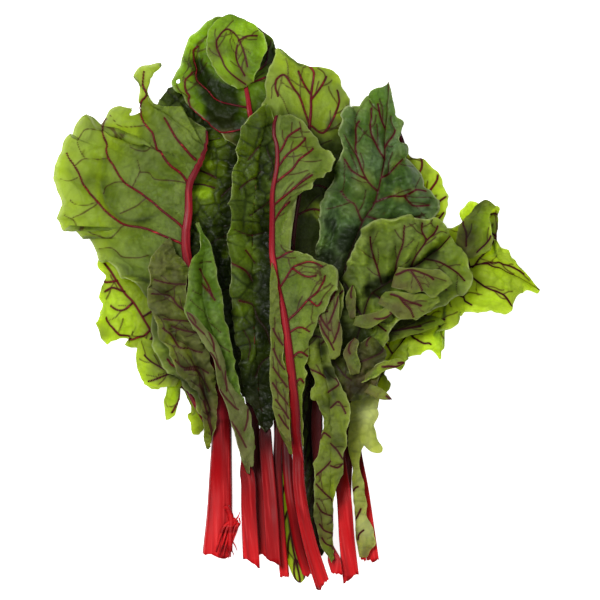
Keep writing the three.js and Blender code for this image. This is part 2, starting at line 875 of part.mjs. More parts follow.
function toManifold(solid) {
  const vertProperties = new Float32Array(solid.points.flatMap((p) => [p.x, p.y, p.z]));
  const triVerts = new Uint32Array(solid.faces.flat());
  return new wasm.Manifold(new wasm.Mesh({ numProp: 3, vertProperties, triVerts }));
}

function fused(tubes) {
  let body = toManifold(tubes[0]);
  for (const part of tubes.slice(1)) body = body.add(toManifold(part));
  const mesh = body.getMesh();
  const points = [];
  for (let k = 0; k < mesh.vertProperties.length; k += mesh.numProp) {
    points.push(vec(mesh.vertProperties[k], mesh.vertProperties[k + 1], mesh.vertProperties[k + 2]));
  }
  const faces = [];
  for (let k = 0; k < mesh.triVerts.length; k += 3) {
    faces.push([mesh.triVerts[k], mesh.triVerts[k + 1], mesh.triVerts[k + 2]]);
  }
  return { points, faces };
}

function addPiece(group, name, solid, color) {
  let geometry = new THREE.BufferGeometry();
  const flat = solid.faces.flat().flatMap((k) => solid.points[k].toArray());
  geometry.setAttribute("position", new THREE.Float32BufferAttribute(flat, 3));
  geometry = mergeVertices(geometry, 1e-4);
  geometry.computeVertexNormals();
  const mesh = new THREE.Mesh(geometry, new THREE.MeshStandardMaterial({ color, roughness: 0.6 }));
  mesh.name = name;
  group.add(mesh);
}

const group = new THREE.Group();
group.name = "swiss_chard_bunch";
const pile = planCells(-LAYER_GAP);
for (const leaf of LEAVES) {
  const { blade, tubes } = settle(leaf, pile);
  addPiece(group, `${leaf.name}_blade`, blade, GREEN);
  if (tubes.length) addPiece(group, `${leaf.name}_stalk`, fused(tubes), RED);
}

// The origin is the middle of the underside
const box = new THREE.Box3().setFromObject(group);
const centre = box.getCenter(vec(0, 0, 0));
for (const mesh of group.children) {
  mesh.geometry.translate(-centre.x, -centre.y, -box.min.z);
}

export default group;
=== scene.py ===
# Loose bunch of red-stemmed Swiss chard lying flat on a lit white table, seen from above.
import functools
import math

import bmesh
import bpy
import numpy as np
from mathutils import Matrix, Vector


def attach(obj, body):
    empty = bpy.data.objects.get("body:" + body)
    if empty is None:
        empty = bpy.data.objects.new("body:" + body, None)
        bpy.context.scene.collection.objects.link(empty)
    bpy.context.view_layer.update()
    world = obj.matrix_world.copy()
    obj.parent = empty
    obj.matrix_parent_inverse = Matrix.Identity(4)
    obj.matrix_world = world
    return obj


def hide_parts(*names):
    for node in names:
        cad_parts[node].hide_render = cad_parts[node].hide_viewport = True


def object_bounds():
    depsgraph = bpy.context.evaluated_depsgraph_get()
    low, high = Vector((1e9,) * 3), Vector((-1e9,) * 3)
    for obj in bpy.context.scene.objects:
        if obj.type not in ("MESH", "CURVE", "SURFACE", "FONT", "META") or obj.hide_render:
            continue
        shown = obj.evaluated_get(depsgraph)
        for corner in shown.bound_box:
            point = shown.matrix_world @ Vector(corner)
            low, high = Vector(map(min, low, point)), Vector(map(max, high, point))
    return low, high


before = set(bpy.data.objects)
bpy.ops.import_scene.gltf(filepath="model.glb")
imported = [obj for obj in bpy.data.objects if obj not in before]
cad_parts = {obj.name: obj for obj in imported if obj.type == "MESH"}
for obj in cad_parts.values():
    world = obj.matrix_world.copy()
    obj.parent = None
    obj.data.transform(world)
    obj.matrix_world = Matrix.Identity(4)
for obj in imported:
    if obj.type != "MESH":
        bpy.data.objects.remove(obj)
CAD_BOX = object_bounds()

MM = 0.001

# Sizes, mm
SHEET = 0.9  # blade thickness that the solids have
LEAF_THICKNESS = 0.6  # blade thickness that is drawn
RIB_GAP = 0.65
LAYER_GAP = 1.1
BEND_RADIUS = 120
FOLD_DROP = 8
MESH_STEP = 1.1  # spacing of a blade's mesh
STALK_STEP = 2.5
STALK_SIDES = 26
VEIN_RADIUS = 0.65  # main side vein at the midrib
VEIN_TIP = 0.25  # and at its end
MAIN_HOLLOW = 4.5  # how far from a side vein the blade has risen to a full cushion
TWIG_HOLLOW = 3
VEIN_REACH = 4  # past this distance a vein no longer colours the blade
HIGHEST_LIFT = 70
LIFT_SLACK = 0.02
SHADE_START, SHADE_DEPTH = 1, 13  # depth in the pile where shade starts, and where it is full after
MERGE_DISTANCE = 0.02
TUBE_SIDES = 6
FAR = 1e4

# Waves of a blade: wavelengths and heights, mm
TORN_EDGE = ((41, 19, 9), (0.8, 0.6, 0.35))
FRILL = ((27, 13), (1.5, 0.8))
CURL = ((48, 23), (1.6, 1.2))
WAVE_PACE = 9.5
CALM_WIDTH = 25  # a half blade narrower than this waves less
SWELL_LENGTH = 44
CRUMPLE_LENGTH = 17
MOTTLE_LENGTH = 26

# Shares of a stalk's height
FLUTE_DEPTH = 0.09
CHANNEL_DEPTH = 0.22
JOINT_RINGS = 8  # rings over which the stalk eases into the midrib

# The pile is followed on a plan grid
CELL = 3
PLAN_X, PLAN_Y = -216, -240
PLAN_NX, PLAN_NY = 144, 160

# A leaf's entries in mm. crest is the height of its midrib, phase shifts the wave of its
# margin, pillow and pucker raise the blade between veins, swell and crumple wave it.
# A row runs across the blade: left margin x y, midrib x y, right margin x y, and rows go
# from base to tip. A vein's points run outwards from the midrib.
# A spot is x y, radius, change of brightness, which paints light where the change is above nought and
# shade where it is below. A fold is height, width and its line.
LEAF = dict(
    margins=(3, 3),  # heights of the left and right margin
    dome=5,  # how far the blade arches between midrib and margin
    wave=3,
    cut_slant=0.2,
    spacing=15,  # from one side vein to the next
    cell=11,  # size of a cushion between fine veins
    tone=(0, 0),  # brightness, painted as light above nought and as shade below, and brown stain
    shade=1.0,  # how much it darkens deep in the pile
    plain_rib=False,  # the midrib is no more than a thread
    rib_slim=1.0,
    rib_tone=0.45,  # place on the stalk's colour scale where the midrib starts
    stem_tone=0.0,  # and where the cut end does
    vein_radius=VEIN_RADIUS,
)
# A fold or lobe, which names the leaf that it lies on
FOLD = dict(
    LEAF,
    face_up=True,
    crest=4,
    margins=(3, 3),
    dome=3,
    wave=1.2,
    phase=0.7,
    pillow=0.8,
    pucker=1.0,
    cell=9,
    spacing=12,
    swell=0.8,
    crumple=1.4,
    finish="olive",
)

# Leaves from the bottom of the pile to the top, as in the solids
LEAVES = [
    dict(
        LEAF, name="base_strip", face_up=False, crest=2, margins=(1, 1), dome=1, wave=1, phase=0.4,
        shade=0.35, pillow=0.3, pucker=0.5, cell=9, spacing=17, swell=0.6, finish="young", crumple=0.6,
        rows=[
            (-13, -105, -9, -105, -6, -105), (-12, -125, -8, -125, -4, -125),
            (-12, -144, -7, -144, -2, -144), (-12, -162, -5, -162, 0, -162),
            (-9, -179, -3, -179, 3, -179), (-6, -192, 0, -192, 6, -193), (-2, -202, 2, -202, 6, -201),
            (1, -205, 2, -205, 3, -205),
        ],
        spots=[(-4, -196, 10, 0.9), (-5, -184, 9, 0.4)],
    ),
    dict(
        LEAF, name="inner_strip", face_up=False, crest=2, margins=(1, 1), dome=1, wave=1, phase=1.4,
        pillow=0.4, pucker=1.0, cell=9, spacing=17, swell=0.8, finish="dark", crumple=1.2,
        rows=[
            (4, -37, 9, -37, 14, -37), (3, -56, 9, -56, 17, -56), (3, -81, 9, -81, 18, -81),
            (4, -105, 10, -105, 19, -105), (5, -130, 12, -130, 18, -130), (7, -153, 13, -153, 19, -153),
            (11, -171, 15, -172, 20, -171), (15, -181, 17, -182, 20, -181),
            (18, -186, 18, -186, 18, -186),
        ],
    ),
    dict(
        LEAF, name="low_left", face_up=False, stalk_width=(11, 6.5, 2), stalk_height=(8, 5, 1.4), crest=8,
        phase=0.3, shade=0.5, rib_slim=0.35, vein_radius=0.5, pillow=1.2, pucker=1.0, swell=1.8,
        finish="young", crumple=1.5,
        stalk=[(-55, -177), (-55, -155), (-56, -122), (-59, -101)],
        rows=[
            (-68, -95, -64, -89, -60, -86), (-76, -98, -66, -86, -54, -77),
            (-78, -86, -70, -81, -49, -68), (-76, -81, -73, -76, -42, -60),
            (-80, -72, -76, -71, -40, -50), (-83, -65, -79, -66, -38, -39),
            (-87, -66, -82, -61, -37, -29), (-87, -84, -84, -56, -37, -18), (-95, -85, -87, -51, -37, -8),
            (-98, -72, -90, -46, -37, 3), (-91, -55, -94, -41, -38, 13), (-99, -63, -97, -36, -40, 24),
            (-106, -64, -100, -32, -42, 34), (-112, -58, -103, -27, -45, 44),
            (-116, -46, -106, -22, -50, 53), (-115, -35, -109, -17, -55, 63),
            (-124, -34, -112, -12, -65, 63), (-122, -28, -115, -7, -76, 63),
            (-140, -31, -119, -1, -85, 59), (-145, -15, -124, 4, -95, 54), (-143, -4, -128, 10, -104, 50),
            (-143, 7, -132, 16, -114, 46), (-139, 17, -135, 21, -124, 41), (-145, 24, -139, 26, -133, 36),
            (-143, 32, -143, 32, -143, 32),
        ],
        veins=[
            [(-81, -52), (-91, -51), (-102, -49), (-109, -42), (-111, -36), (-107, -30), (-101, -24)],
            [(-119, -2), (-126, -7), (-135, -4)],
            [(-106, -22), (-114, -27), (-123, -26), (-132, -22), (-138, -13)],
            [(-125, 6), (-133, 9), (-139, 6)], [(-130, 14), (-135, 13), (-140, 14)],
            [(-76, -71), (-84, -72), (-90, -81)], [(-112, -12), (-102, -7), (-91, -4)],
            [(-99, -33), (-88, -27), (-77, -25)], [(-88, -50), (-73, -43), (-63, -37)],
        ],
    ),
    dict(
        FOLD, name="low_left_lobe", on="low_left", tone=(0.5, 0.08),
        rows=[
            (-87, -62, -84, -56, -81, -49), (-99, -63, -91, -55, -86, -43),
            (-107, -63, -97, -51, -91, -36), (-114, -53, -104, -45, -97, -32),
            (-116, -42, -109, -37, -103, -30), (-115, -33, -112, -31, -107, -29),
            (-114, -29, -112, -28, -111, -28),
        ],
        veins=[[(-86, -50), (-95, -50), (-103, -46), (-110, -40)], [(-91, -52), (-99, -56), (-107, -59)]],
    ),
    dict(
        LEAF, name="far_right", face_up=True, stalk_width=(9, 6, 2), stalk_height=(6, 4.5, 1.4),
        cut_slant=0.1, crest=8, margins=(8, 8), dome=4, wave=2, phase=1.1, shade=0.5, rib_slim=0.7,
        pillow=1.4, pucker=1.1, cell=12, swell=2.0, finish="young", crumple=2.2,
        stalk=[(55, -189), (52, -166), (48, -137), (43, -108), (45, -95)],
        rows=[
            (43, -86, 50, -87, 56, -89), (45, -71, 54, -70, 60, -72), (46, -54, 60, -56, 66, -63),
            (49, -36, 67, -43, 60, -53), (53, -19, 75, -32, 68, -50), (58, -4, 82, -23, 76, -48),
            (64, 7, 88, -14, 78, -42), (71, 17, 94, -8, 89, -39), (77, 27, 99, -2, 97, -36),
            (83, 35, 104, 4, 103, -42), (89, 40, 109, 9, 106, -35), (96, 45, 113, 13, 99, -27),
            (104, 48, 117, 17, 104, -23), (110, 52, 120, 20, 111, -20), (119, 57, 124, 23, 117, -14),
            (120, 66, 129, 25, 120, -9), (127, 71, 133, 26, 133, -9), (135, 68, 138, 26, 145, -9),
            (145, 68, 142, 24, 153, -9), (141, 58, 147, 23, 157, -2), (137, 51, 152, 20, 161, 3),
            (150, 37, 159, 17, 166, 7), (163, 23, 168, 12, 173, 4), (176, 7, 176, 7, 176, 7),
        ],
        veins=[
            [(125, 24), (122, 35), (122, 45), (120, 55)], [(127, 24), (135, 33), (140, 39), (144, 48)],
            [(122, 21), (130, 14), (139, 8), (149, 4), (155, -4)],
            [(133, 26), (145, 27), (155, 24), (164, 19)], [(108, 8), (103, 20), (100, 30)],
            [(108, 8), (119, 3), (127, -4)], [(100, -1), (91, 9), (84, 17)],
            [(91, -11), (102, -17), (107, -14)], [(81, -24), (74, -13), (68, -4)],
            [(80, -25), (89, -30), (97, -32)], [(69, -39), (63, -29), (58, -22)],
            [(140, 39), (139, 50), (138, 62)],
        ],
        spots=[
            (56, -25, 9, -0.3), (71, 0, 13, -0.3), (85, -37, 9, 0.4), (74, -48, 9, 0.35),
            (121, 2, 12, 0.35), (96, -32, 10, 0.4), (54, -43, 12, -0.6), (49, -72, 14, -0.3),
        ],
        folds=[
            (-4, 3, [(47, -27), (71, -27), (97, -24)]), (4, 5, [(51, -20), (73, -16), (103, -13)]),
            (3, 5, [(54, -35), (78, -33), (97, -32)]), (-3, 3, [(120, 56), (125, 40), (127, 27)]),
        ],
    ),
    dict(
        FOLD, name="far_right_tip", on="far_right", tone=(-0.45, 0.0), crest=4, margins=(2, 4),
        rows=[
            (116, 30, 127, 30, 140, 36), (114, 39, 127, 40, 141, 43), (116, 48, 127, 50, 140, 52),
            (118, 55, 127, 58, 138, 58), (125, 63, 132, 65, 140, 64), (130, 68, 136, 70, 143, 67),
            (137, 71, 137, 71, 137, 71),
        ],
        veins=[[(122, 39), (122, 49), (120, 56)], [(130, 35), (136, 40), (140, 46)]],
    ),
    dict(
        FOLD, name="far_right_fold", on="far_right", tone=(0.25, 0.0), crest=5, margins=(4, 1.5),
        rows=[
            (46, -30, 50, -26, 54, -22), (54, -30, 60, -23, 66, -16), (66, -29, 71, -22, 76, -13),
            (78, -27, 84, -20, 89, -12), (89, -24, 94, -19, 100, -12), (97, -21, 101, -18, 104, -13),
            (107, -16, 107, -16, 107, -16),
        ],
        veins=[[(50, -26), (67, -22), (89, -19)]],
    ),
    dict(
        LEAF, name="back_right", face_up=False, stalk_width=(9, 7, 2), stalk_height=(8, 6, 1.4), crest=7,
        dome=4, phase=2.0, shade=0.6, pillow=1.2, pucker=0.9, swell=1.8, finish="young", crumple=1.5,
        stalk=[(36, -192), (35, -144), (38, -94), (45, -50)],
        rows=[
            (44, -16, 54, -16, 66, -16), (40, 7, 63, 10, 86, 7), (38, 32, 69, 32, 100, 30),
            (40, 54, 74, 49, 104, 49), (42, 73, 77, 62, 109, 70), (47, 92, 78, 73, 108, 79),
            (51, 107, 79, 84, 102, 91), (55, 117, 78, 94, 94, 102), (60, 125, 77, 104, 82, 104),
            (64, 131, 75, 117, 77, 117), (71, 132, 71, 132, 71, 132),
        ],
    ),
    dict(
        LEAF, name="low_right", face_up=True, stalk_width=(4, 4, 2), stalk_height=(3, 2.4, 1.2), crest=5,
        margins=(3, 2), dome=1.5, wave=1, phase=0.9, shade=0.5, plain_rib=True, pillow=0.3, pucker=0.8,
        cell=9, spacing=11, swell=0.8, finish="pale", crumple=1.2,
        stalk=[(48, -188), (48, -186)],
        rows=[
            (45, -186, 48, -186, 50, -186), (44, -180, 48, -180, 53, -181),
            (43, -174, 48, -174, 57, -176), (42, -166, 48, -166, 55, -166),
            (42, -157, 46, -157, 50, -156), (41, -145, 45, -145, 50, -145),
            (40, -135, 44, -135, 48, -132), (40, -122, 42, -122, 45, -121),
            (38, -112, 42, -112, 45, -111), (37, -102, 43, -102, 49, -104), (37, -96, 46, -97, 53, -109),
            (38, -90, 48, -91, 61, -109), (38, -84, 49, -84, 58, -99), (38, -78, 50, -78, 55, -90),
            (40, -72, 50, -73, 58, -84), (42, -68, 52, -68, 57, -78), (45, -64, 53, -65, 59, -72),
            (50, -62, 55, -62, 59, -66), (57, -59, 57, -59, 57, -59),
        ],
        veins=[
            [(44, -135), (42, -136), (41, -138)], [(46, -151), (44, -155), (42, -159)],
            [(48, -166), (45, -169), (44, -173)],
        ],
        spots=[(47, -79, 12, 0.45), (44, -122, 9, -0.1), (47, -166, 13, 0.7)],
    ),
    dict(
        LEAF, name="back_left", face_up=True, stalk_width=(9.5, 7, 2), stalk_height=(7, 5, 1.4),
        cut_slant=0.4, crest=8, margins=(3, 5), phase=0.1, plain_rib=True, pillow=1.2, pucker=2.3,
        cell=12, swell=2.2, finish="dark", crumple=2.4,
        stalk=[(-24, -185), (-27, -158), (-30, -122), (-31, -94)],
        rows=[
            (-38, -69, -34, -71, -30, -71), (-50, -49, -40, -48, -31, -48),
            (-64, -25, -44, -22, -31, -22), (-77, 0, -48, 3, -31, 4), (-100, 27, -50, 28, -31, 29),
            (-122, 53, -53, 53, -30, 54), (-135, 63, -54, 63, -30, 65), (-141, 75, -55, 73, -30, 75),
            (-141, 88, -57, 84, -30, 85), (-136, 94, -58, 91, -30, 94), (-121, 97, -60, 99, -32, 102),
            (-119, 108, -61, 107, -33, 112), (-112, 121, -63, 114, -35, 120),
            (-106, 131, -66, 122, -39, 127), (-100, 141, -68, 130, -44, 132),
            (-98, 148, -72, 137, -51, 137), (-92, 153, -77, 143, -61, 141),
            (-84, 153, -84, 153, -84, 153),
        ],
        veins=[
            [(-72, 94), (-66, 92), (-59, 88)], [(-75, 84), (-68, 83), (-60, 81)],
            [(-54, 75), (-47, 82), (-41, 85)],
        ],
        spots=[(-66, 101, 6, 1.0), (-68, 79, 6, 1.0), (-52, 32, 3, 1.0), (-90, 144, 6, -0.3)],
        twigs=[
            [(-53, 53), (-44, 56), (-37, 62)], [(-66, 36), (-58, 43), (-51, 46)],
            [(-70, 119), (-63, 115), (-55, 117)], [(-61, 0), (-53, 7), (-44, 9)],
            [(-50, -22), (-41, -16), (-34, -13)],
        ],
    ),
    dict(
        LEAF, name="top_left", face_up=False, stalk_width=(7, 6, 2), stalk_height=(7, 5, 1.4),
        cut_slant=0.1, crest=8, phase=1.7, rib_slim=0.75, rib_tone=0.6, pillow=1.6, pucker=1.3,
        spacing=14, swell=2.0, finish="lime", crumple=1.6,
        stalk=[(-9, -200), (-11, -176), (-13, -144), (-14, -115), (-14, -86), (-22, -22), (-29, 58)],
        rows=[
            (-41, 107, -31, 107, -25, 107), (-54, 120, -32, 125, -21, 123),
            (-70, 132, -34, 135, -17, 135), (-81, 145, -35, 143, -14, 145),
            (-89, 153, -36, 149, -13, 153), (-92, 160, -37, 154, -12, 158),
            (-87, 165, -37, 158, -12, 163), (-84, 170, -37, 161, -11, 167),
            (-84, 176, -37, 163, -11, 171), (-80, 186, -37, 166, -12, 174),
            (-73, 194, -35, 170, -13, 179), (-66, 202, -33, 173, -14, 182),
            (-56, 207, -30, 176, -15, 186), (-43, 203, -27, 181, -17, 189),
            (-32, 200, -25, 186, -20, 192), (-24, 194, -24, 194, -24, 194),
        ],
        veins=[
            [
                (-37, 155), (-50, 165), (-56, 177), (-57, 187), (-51, 195), (-44, 191), (-40, 182),
                (-36, 168),
            ],
            [(-37, 161), (-43, 172), (-43, 183)], [(-42, 186), (-36, 190), (-29, 190)],
            [(-32, 125), (-54, 121), (-65, 128), (-75, 138), (-78, 148), (-80, 160), (-75, 164)],
            [(-34, 138), (-57, 144), (-64, 151), (-73, 161), (-75, 172), (-75, 180), (-72, 183)],
            [(-36, 156), (-29, 158), (-22, 161)], [(-35, 164), (-28, 166), (-22, 173), (-21, 183)],
            [(-32, 130), (-25, 135), (-19, 144)],
        ],
        holes=[[(-87.1, 159.1), (-85.7, 159.8), (-84.6, 158.4), (-85.3, 156.6), (-86.8, 157)]],
        spots=[
            (-66, 155, 12, -0.9), (-54, 144, 13, -0.9), (-44, 131, 13, -0.9), (-70, 171, 6, -0.2),
            (-73, 180, 6, 0.35), (-82, 158, 7, 0.25), (-21, 166, 6, 0.4), (-59, 131, 10, -0.8),
        ],
        folds=[
            (-4, 4, [(-73, 184), (-68, 162), (-54, 141)]), (3, 5, [(-79, 173), (-77, 156), (-67, 141)]),
        ],
    ),
    dict(
        FOLD, name="top_left_lobe", on="top_left", tone=(0.45, 0.0), crest=4, margins=(3, 3), dome=4,
        spacing=12,
        rows=[
            (-44, 151, -37, 153, -31, 158), (-54, 158, -40, 160, -27, 166),
            (-61, 170, -42, 171, -24, 176), (-65, 181, -44, 181, -22, 184),
            (-64, 192, -44, 192, -25, 192), (-60, 199, -45, 199, -30, 197),
            (-54, 204, -47, 204, -40, 202), (-48, 206, -48, 206, -48, 206),
        ],
        veins=[
            [
                (-37, 155), (-50, 165), (-56, 177), (-57, 187), (-51, 195), (-44, 191), (-40, 182),
                (-36, 168),
            ],
            [(-37, 161), (-43, 172), (-43, 183)], [(-42, 186), (-36, 190), (-29, 190)],
        ],
    ),
    dict(
        LEAF, name="top_centre", face_up=False, stalk_width=(8, 7, 2), stalk_height=(7, 5.5, 1.4),
        cut_slant=0.1, crest=8, margins=(4, 4), phase=0.6, rib_slim=0.5, vein_radius=0.5, rib_tone=0.75,
        pillow=1.4, pucker=0.8, cell=14, spacing=16, swell=2.0, finish="olive", crumple=1.2,
        stalk=[(8, -199), (2, -179), (-2, -158), (-5, -140), (-7, -115), (-9, -72), (-9, -22)],
        rows=[
            (-18, 7, -7, 6, 19, 8), (-25, 29, -4, 32, 28, 36), (-28, 58, -1, 60, 33, 61),
            (-30, 83, 4, 89, 35, 85), (-30, 108, 7, 111, 36, 108), (-29, 128, 9, 126, 40, 128),
            (-24, 148, 10, 138, 39, 142), (-22, 160, 10, 147, 34, 153), (-19, 171, 11, 154, 31, 161),
            (-14, 181, 12, 160, 26, 166), (-4, 175, 12, 164, 18, 168), (9, 168, 9, 168, 9, 168),
        ],
        veins=[
            [(9, 126), (2, 144), (-2, 151), (-9, 161), (-15, 158), (-14, 146)],
            [(9, 126), (19, 120), (28, 135), (29, 151)], [(7, 111), (-5, 122), (-16, 124), (-25, 122)],
            [(4, 90), (-9, 97), (-21, 95)], [(6, 108), (17, 108), (27, 101)],
            [(1, 68), (-9, 72), (-22, 68)], [(2, 79), (14, 82), (24, 79)], [(-1, 61), (11, 65), (21, 63)],
            [(10, 144), (17, 153), (21, 161)], [(10, 147), (4, 157), (1, 164)],
        ],
        spots=[
            (2, 54, 14, -1.0), (14, 36, 19, -1.0), (28, 126, 8, -0.5), (2, 86, 12, -0.6),
            (31, 108, 10, -0.7), (17, 79, 13, -0.9), (33, 138, 5, 0.5),
        ],
        folds=[(3, 4, [(15, 161), (27, 144), (31, 127)]), (-3, 4, [(6, 79), (11, 61), (15, 40)])],
    ),
    # Its stalk starts darker on the colour scale: a deeper red, and painted shade where it lies low
    # between the others
    dict(
        LEAF, name="centre_dark", face_up=True, stalk_width=(10.5, 9, 2), stalk_height=(8, 5, 1.4),
        cut_slant=0.5, crest=8, margins=(6, 6), dome=6, wave=2.5, phase=1.4, stem_tone=0.26,
        plain_rib=True, pillow=1.4, pucker=2.6, cell=12, swell=2.4, finish="dark", crumple=2.4,
        stalk=[(-17, -189), (-19, -151), (-22, -112)],
        rows=[
            (-25, -95, -23, -96, -21, -95), (-30, -85, -24, -85, -17, -85),
            (-34, -73, -27, -73, -15, -73), (-38, -58, -28, -55, -11, -55), (-42, -35, -30, -33, -8, -32),
            (-45, -9, -31, -8, -6, -7), (-47, 18, -32, 17, -6, 18), (-48, 43, -32, 42, -6, 43),
            (-47, 68, -31, 66, -6, 68), (-45, 92, -29, 87, -7, 89), (-42, 108, -27, 106, -9, 108),
            (-37, 125, -24, 122, -13, 122), (-30, 134, -23, 133, -17, 133),
            (-22, 141, -22, 141, -22, 141),
        ],
        veins=[
            [(-41, 0), (-32, -4), (-28, -13), (-22, -22), (-19, -32)],
            [(-30, -55), (-25, -45), (-19, -40)], [(-47, 27), (-38, 22), (-32, 14)],
            [(-37, 36), (-30, 27)],
        ],
        spots=[
            (-25, 126, 10, 0.15), (-40, 83, 6, -0.4), (-32, 29, 17, 0.2), (-37, -22, 10, -0.4),
            (-25, -50, 12, 0.2), (-25, -86, 12, -0.6),
        ],
        folds=[
            (3, 4, [(-44, 72), (-42, 29), (-41, -22)]), (-4, 4, [(-19, 130), (-25, 86), (-22, 43)]),
            (3, 4, [(-12, 86), (-11, 43), (-9, 0)]),
        ],
        twigs=[
            [(-34, 61), (-25, 66), (-18, 72)], [(-41, 79), (-34, 86), (-25, 92)],
            [(-25, 115), (-30, 108), (-35, 101)], [(-21, 108), (-17, 97), (-19, 86)],
            [(-44, 50), (-34, 46), (-22, 49)], [(-38, -22), (-34, -32), (-35, -43)],
        ],
    ),
    dict(
        LEAF, name="upper_right", face_up=True, stalk_width=(8, 7, 2), stalk_height=(8, 5, 1.4),
        cut_slant=0.3, crest=8, margins=(6, 6), dome=6, phase=2.2, vein_radius=0.8, pillow=2.2,
        pucker=1.5, cell=14, spacing=18, swell=3.0, finish="waxy_grey_sheen", crumple=3.4,
        stalk=[(21, -181), (19, -155), (16, -122), (14, -94), (15, -72), (19, -43)],
        rows=[
            (18, 0, 30, -1, 40, 0), (15, 25, 36, 27, 54, 27), (14, 43, 45, 51, 74, 45),
            (17, 61, 50, 61, 91, 56), (21, 76, 55, 68, 102, 65), (28, 92, 58, 77, 101, 74),
            (32, 107, 60, 86, 91, 81), (31, 115, 61, 91, 86, 92), (32, 122, 62, 97, 78, 103),
            (32, 132, 63, 104, 79, 110), (37, 138, 63, 111, 74, 116), (45, 141, 63, 117, 78, 126),
            (48, 145, 64, 125, 70, 132), (53, 146, 65, 134, 69, 140), (53, 150, 65, 141, 68, 146),
            (60, 152, 66, 146, 68, 151), (65, 156, 66, 153, 67, 156), (66, 158, 66, 158, 66, 158),
        ],
        veins=[
            [(55, 70), (67, 74), (76, 75), (85, 79), (93, 78)], [(47, 56), (42, 67), (37, 72), (32, 79)],
            [(58, 78), (50, 86), (44, 101), (42, 115), (45, 128)], [(61, 88), (70, 95), (76, 101)],
            [(63, 101), (57, 112), (53, 125), (54, 138)], [(63, 109), (68, 117), (71, 122)],
            [(50, 60), (63, 56), (76, 56), (89, 60)], [(50, 86), (40, 92), (34, 101)],
            [(76, 75), (83, 68), (94, 68)], [(64, 122), (60, 131), (58, 141)],
        ],
        spots=[
            (45, 83, 12, 0.35), (68, 94, 6, 0.5), (73, 76, 6, 0.45), (38, 45, 11, -1.0),
            (24, 54, 6, -0.6), (15, 14, 17, -1.0), (63, 65, 13, 0.2), (35, 108, 9, 0.1),
            (45, 144, 9, 0.25),
        ],
        folds=[
            (3, 3, [(63, 108), (60, 95), (63, 82)]), (3.5, 3, [(71, 75), (66, 62), (55, 52)]),
            (-3, 3, [(66, 107), (66, 94), (68, 84)]), (4, 3.5, [(76, 97), (81, 83), (91, 72)]),
            (-3, 3, [(71, 95), (76, 82), (84, 70)]), (4, 3, [(22, 68), (18, 47), (16, 27)]),
            (-4, 3, [(28, 68), (26, 47), (24, 27)]), (3, 4, [(40, 140), (35, 115), (33, 86)]),
        ],
    ),
    dict(
        LEAF, name="broad_left", face_up=False, stalk_width=(21, 14, 2.4), stalk_height=(10, 7, 1.6),
        cut_slant=0.1, crest=11, margins=(4, 1), dome=6, wave=3.5, phase=0.8, fold=(1, 9, 6),
        rib_tone=0.6, rib_slim=0.68, vein_radius=1.15, pillow=2.4, pucker=0.7, cell=15, spacing=16,
        swell=2.6, finish="olive", crumple=1.2,
        stalk=[(-58, -184), (-56, -155), (-55, -122)],
        rows=[
            (-60, -94, -54, -93, -48, -93), (-71, -78, -55, -76, -47, -76),
            (-83, -62, -58, -55, -50, -55), (-99, -45, -64, -32, -56, -33),
            (-107, -22, -72, -13, -65, -14), (-108, 0, -79, 4, -97, 0), (-133, 23, -78, 22, -100, 20),
            (-144, 31, -79, 30, -102, 28), (-150, 42, -80, 38, -103, 35), (-158, 45, -80, 44, -104, 40),
            (-164, 53, -80, 50, -104, 45), (-170, 53, -79, 55, -104, 51), (-173, 63, -78, 63, -104, 58),
            (-171, 71, -78, 68, -104, 63), (-175, 82, -78, 73, -104, 69), (-176, 94, -78, 79, -102, 75),
            (-171, 109, -77, 85, -101, 80), (-168, 118, -75, 89, -98, 84), (-163, 119, -74, 91, -96, 87),
            (-161, 127, -73, 93, -95, 89), (-155, 132, -72, 95, -93, 90), (-149, 128, -72, 96, -92, 92),
            (-144, 124, -71, 97, -91, 93), (-140, 129, -70, 98, -90, 94), (-135, 137, -70, 100, -88, 95),
            (-128, 142, -69, 101, -87, 97), (-117, 141, -68, 103, -85, 98),
            (-114, 153, -68, 104, -84, 99), (-119, 161, -68, 105, -83, 100),
            (-115, 168, -67, 106, -82, 102), (-108, 170, -67, 107, -81, 103),
            (-99, 172, -66, 108, -80, 104), (-97, 168, -66, 109, -78, 105),
            (-104, 158, -66, 110, -77, 107), (-107, 150, -66, 112, -75, 108),
            (-104, 141, -65, 113, -73, 110), (-93, 139, -65, 115, -71, 112),
            (-81, 135, -65, 117, -69, 115), (-71, 129, -65, 119, -67, 117),
            (-65, 122, -65, 122, -65, 122),
        ],
        veins=[
            [
                (-79, 38), (-84, 41), (-93, 45), (-106, 50), (-124, 54), (-135, 62), (-144, 71),
                (-154, 84), (-159, 94), (-163, 101), (-166, 106),
            ],
            [
                (-79, 46), (-82, 51), (-86, 56), (-91, 60), (-99, 66), (-106, 72), (-113, 77), (-119, 81),
                (-124, 85), (-131, 95), (-135, 101), (-138, 108), (-139, 115), (-141, 122), (-140, 127),
                (-138, 130),
            ],
            [
                (-77, 81), (-80, 86), (-84, 91), (-90, 96), (-95, 102), (-102, 113), (-104, 119),
                (-108, 125), (-111, 130), (-112, 135), (-113, 139), (-111, 145), (-109, 150), (-111, 155),
                (-110, 164),
            ],
            [(-73, 101), (-79, 107), (-84, 113), (-89, 120), (-93, 127), (-95, 131)],
            [(-79, 11), (-84, 19), (-90, 22), (-97, 24)], [(-77, -4), (-86, -3), (-93, 1), (-102, 4)],
            [(-71, -16), (-80, -14), (-90, -15)], [(-67, -27), (-76, -23), (-86, -21), (-93, -16)],
            [(-64, -37), (-74, -34), (-84, -33), (-90, -27), (-96, -22)],
            [(-60, -52), (-70, -49), (-78, -47), (-87, -48), (-93, -43)],
            [(-58, -61), (-66, -55), (-76, -52), (-84, -54)], [(-55, -73), (-63, -66), (-71, -59)],
            [(-54, -86), (-61, -76), (-68, -71)],
        ],
        holes=[
            [
                (-93.6, 174.2), (-98.6, 165.6), (-102.2, 162.7), (-105.1, 157), (-107.3, 151.2),
                (-106.2, 146.2), (-103.7, 142.2), (-98.6, 140.8), (-92.9, 139.7), (-77, 139.7),
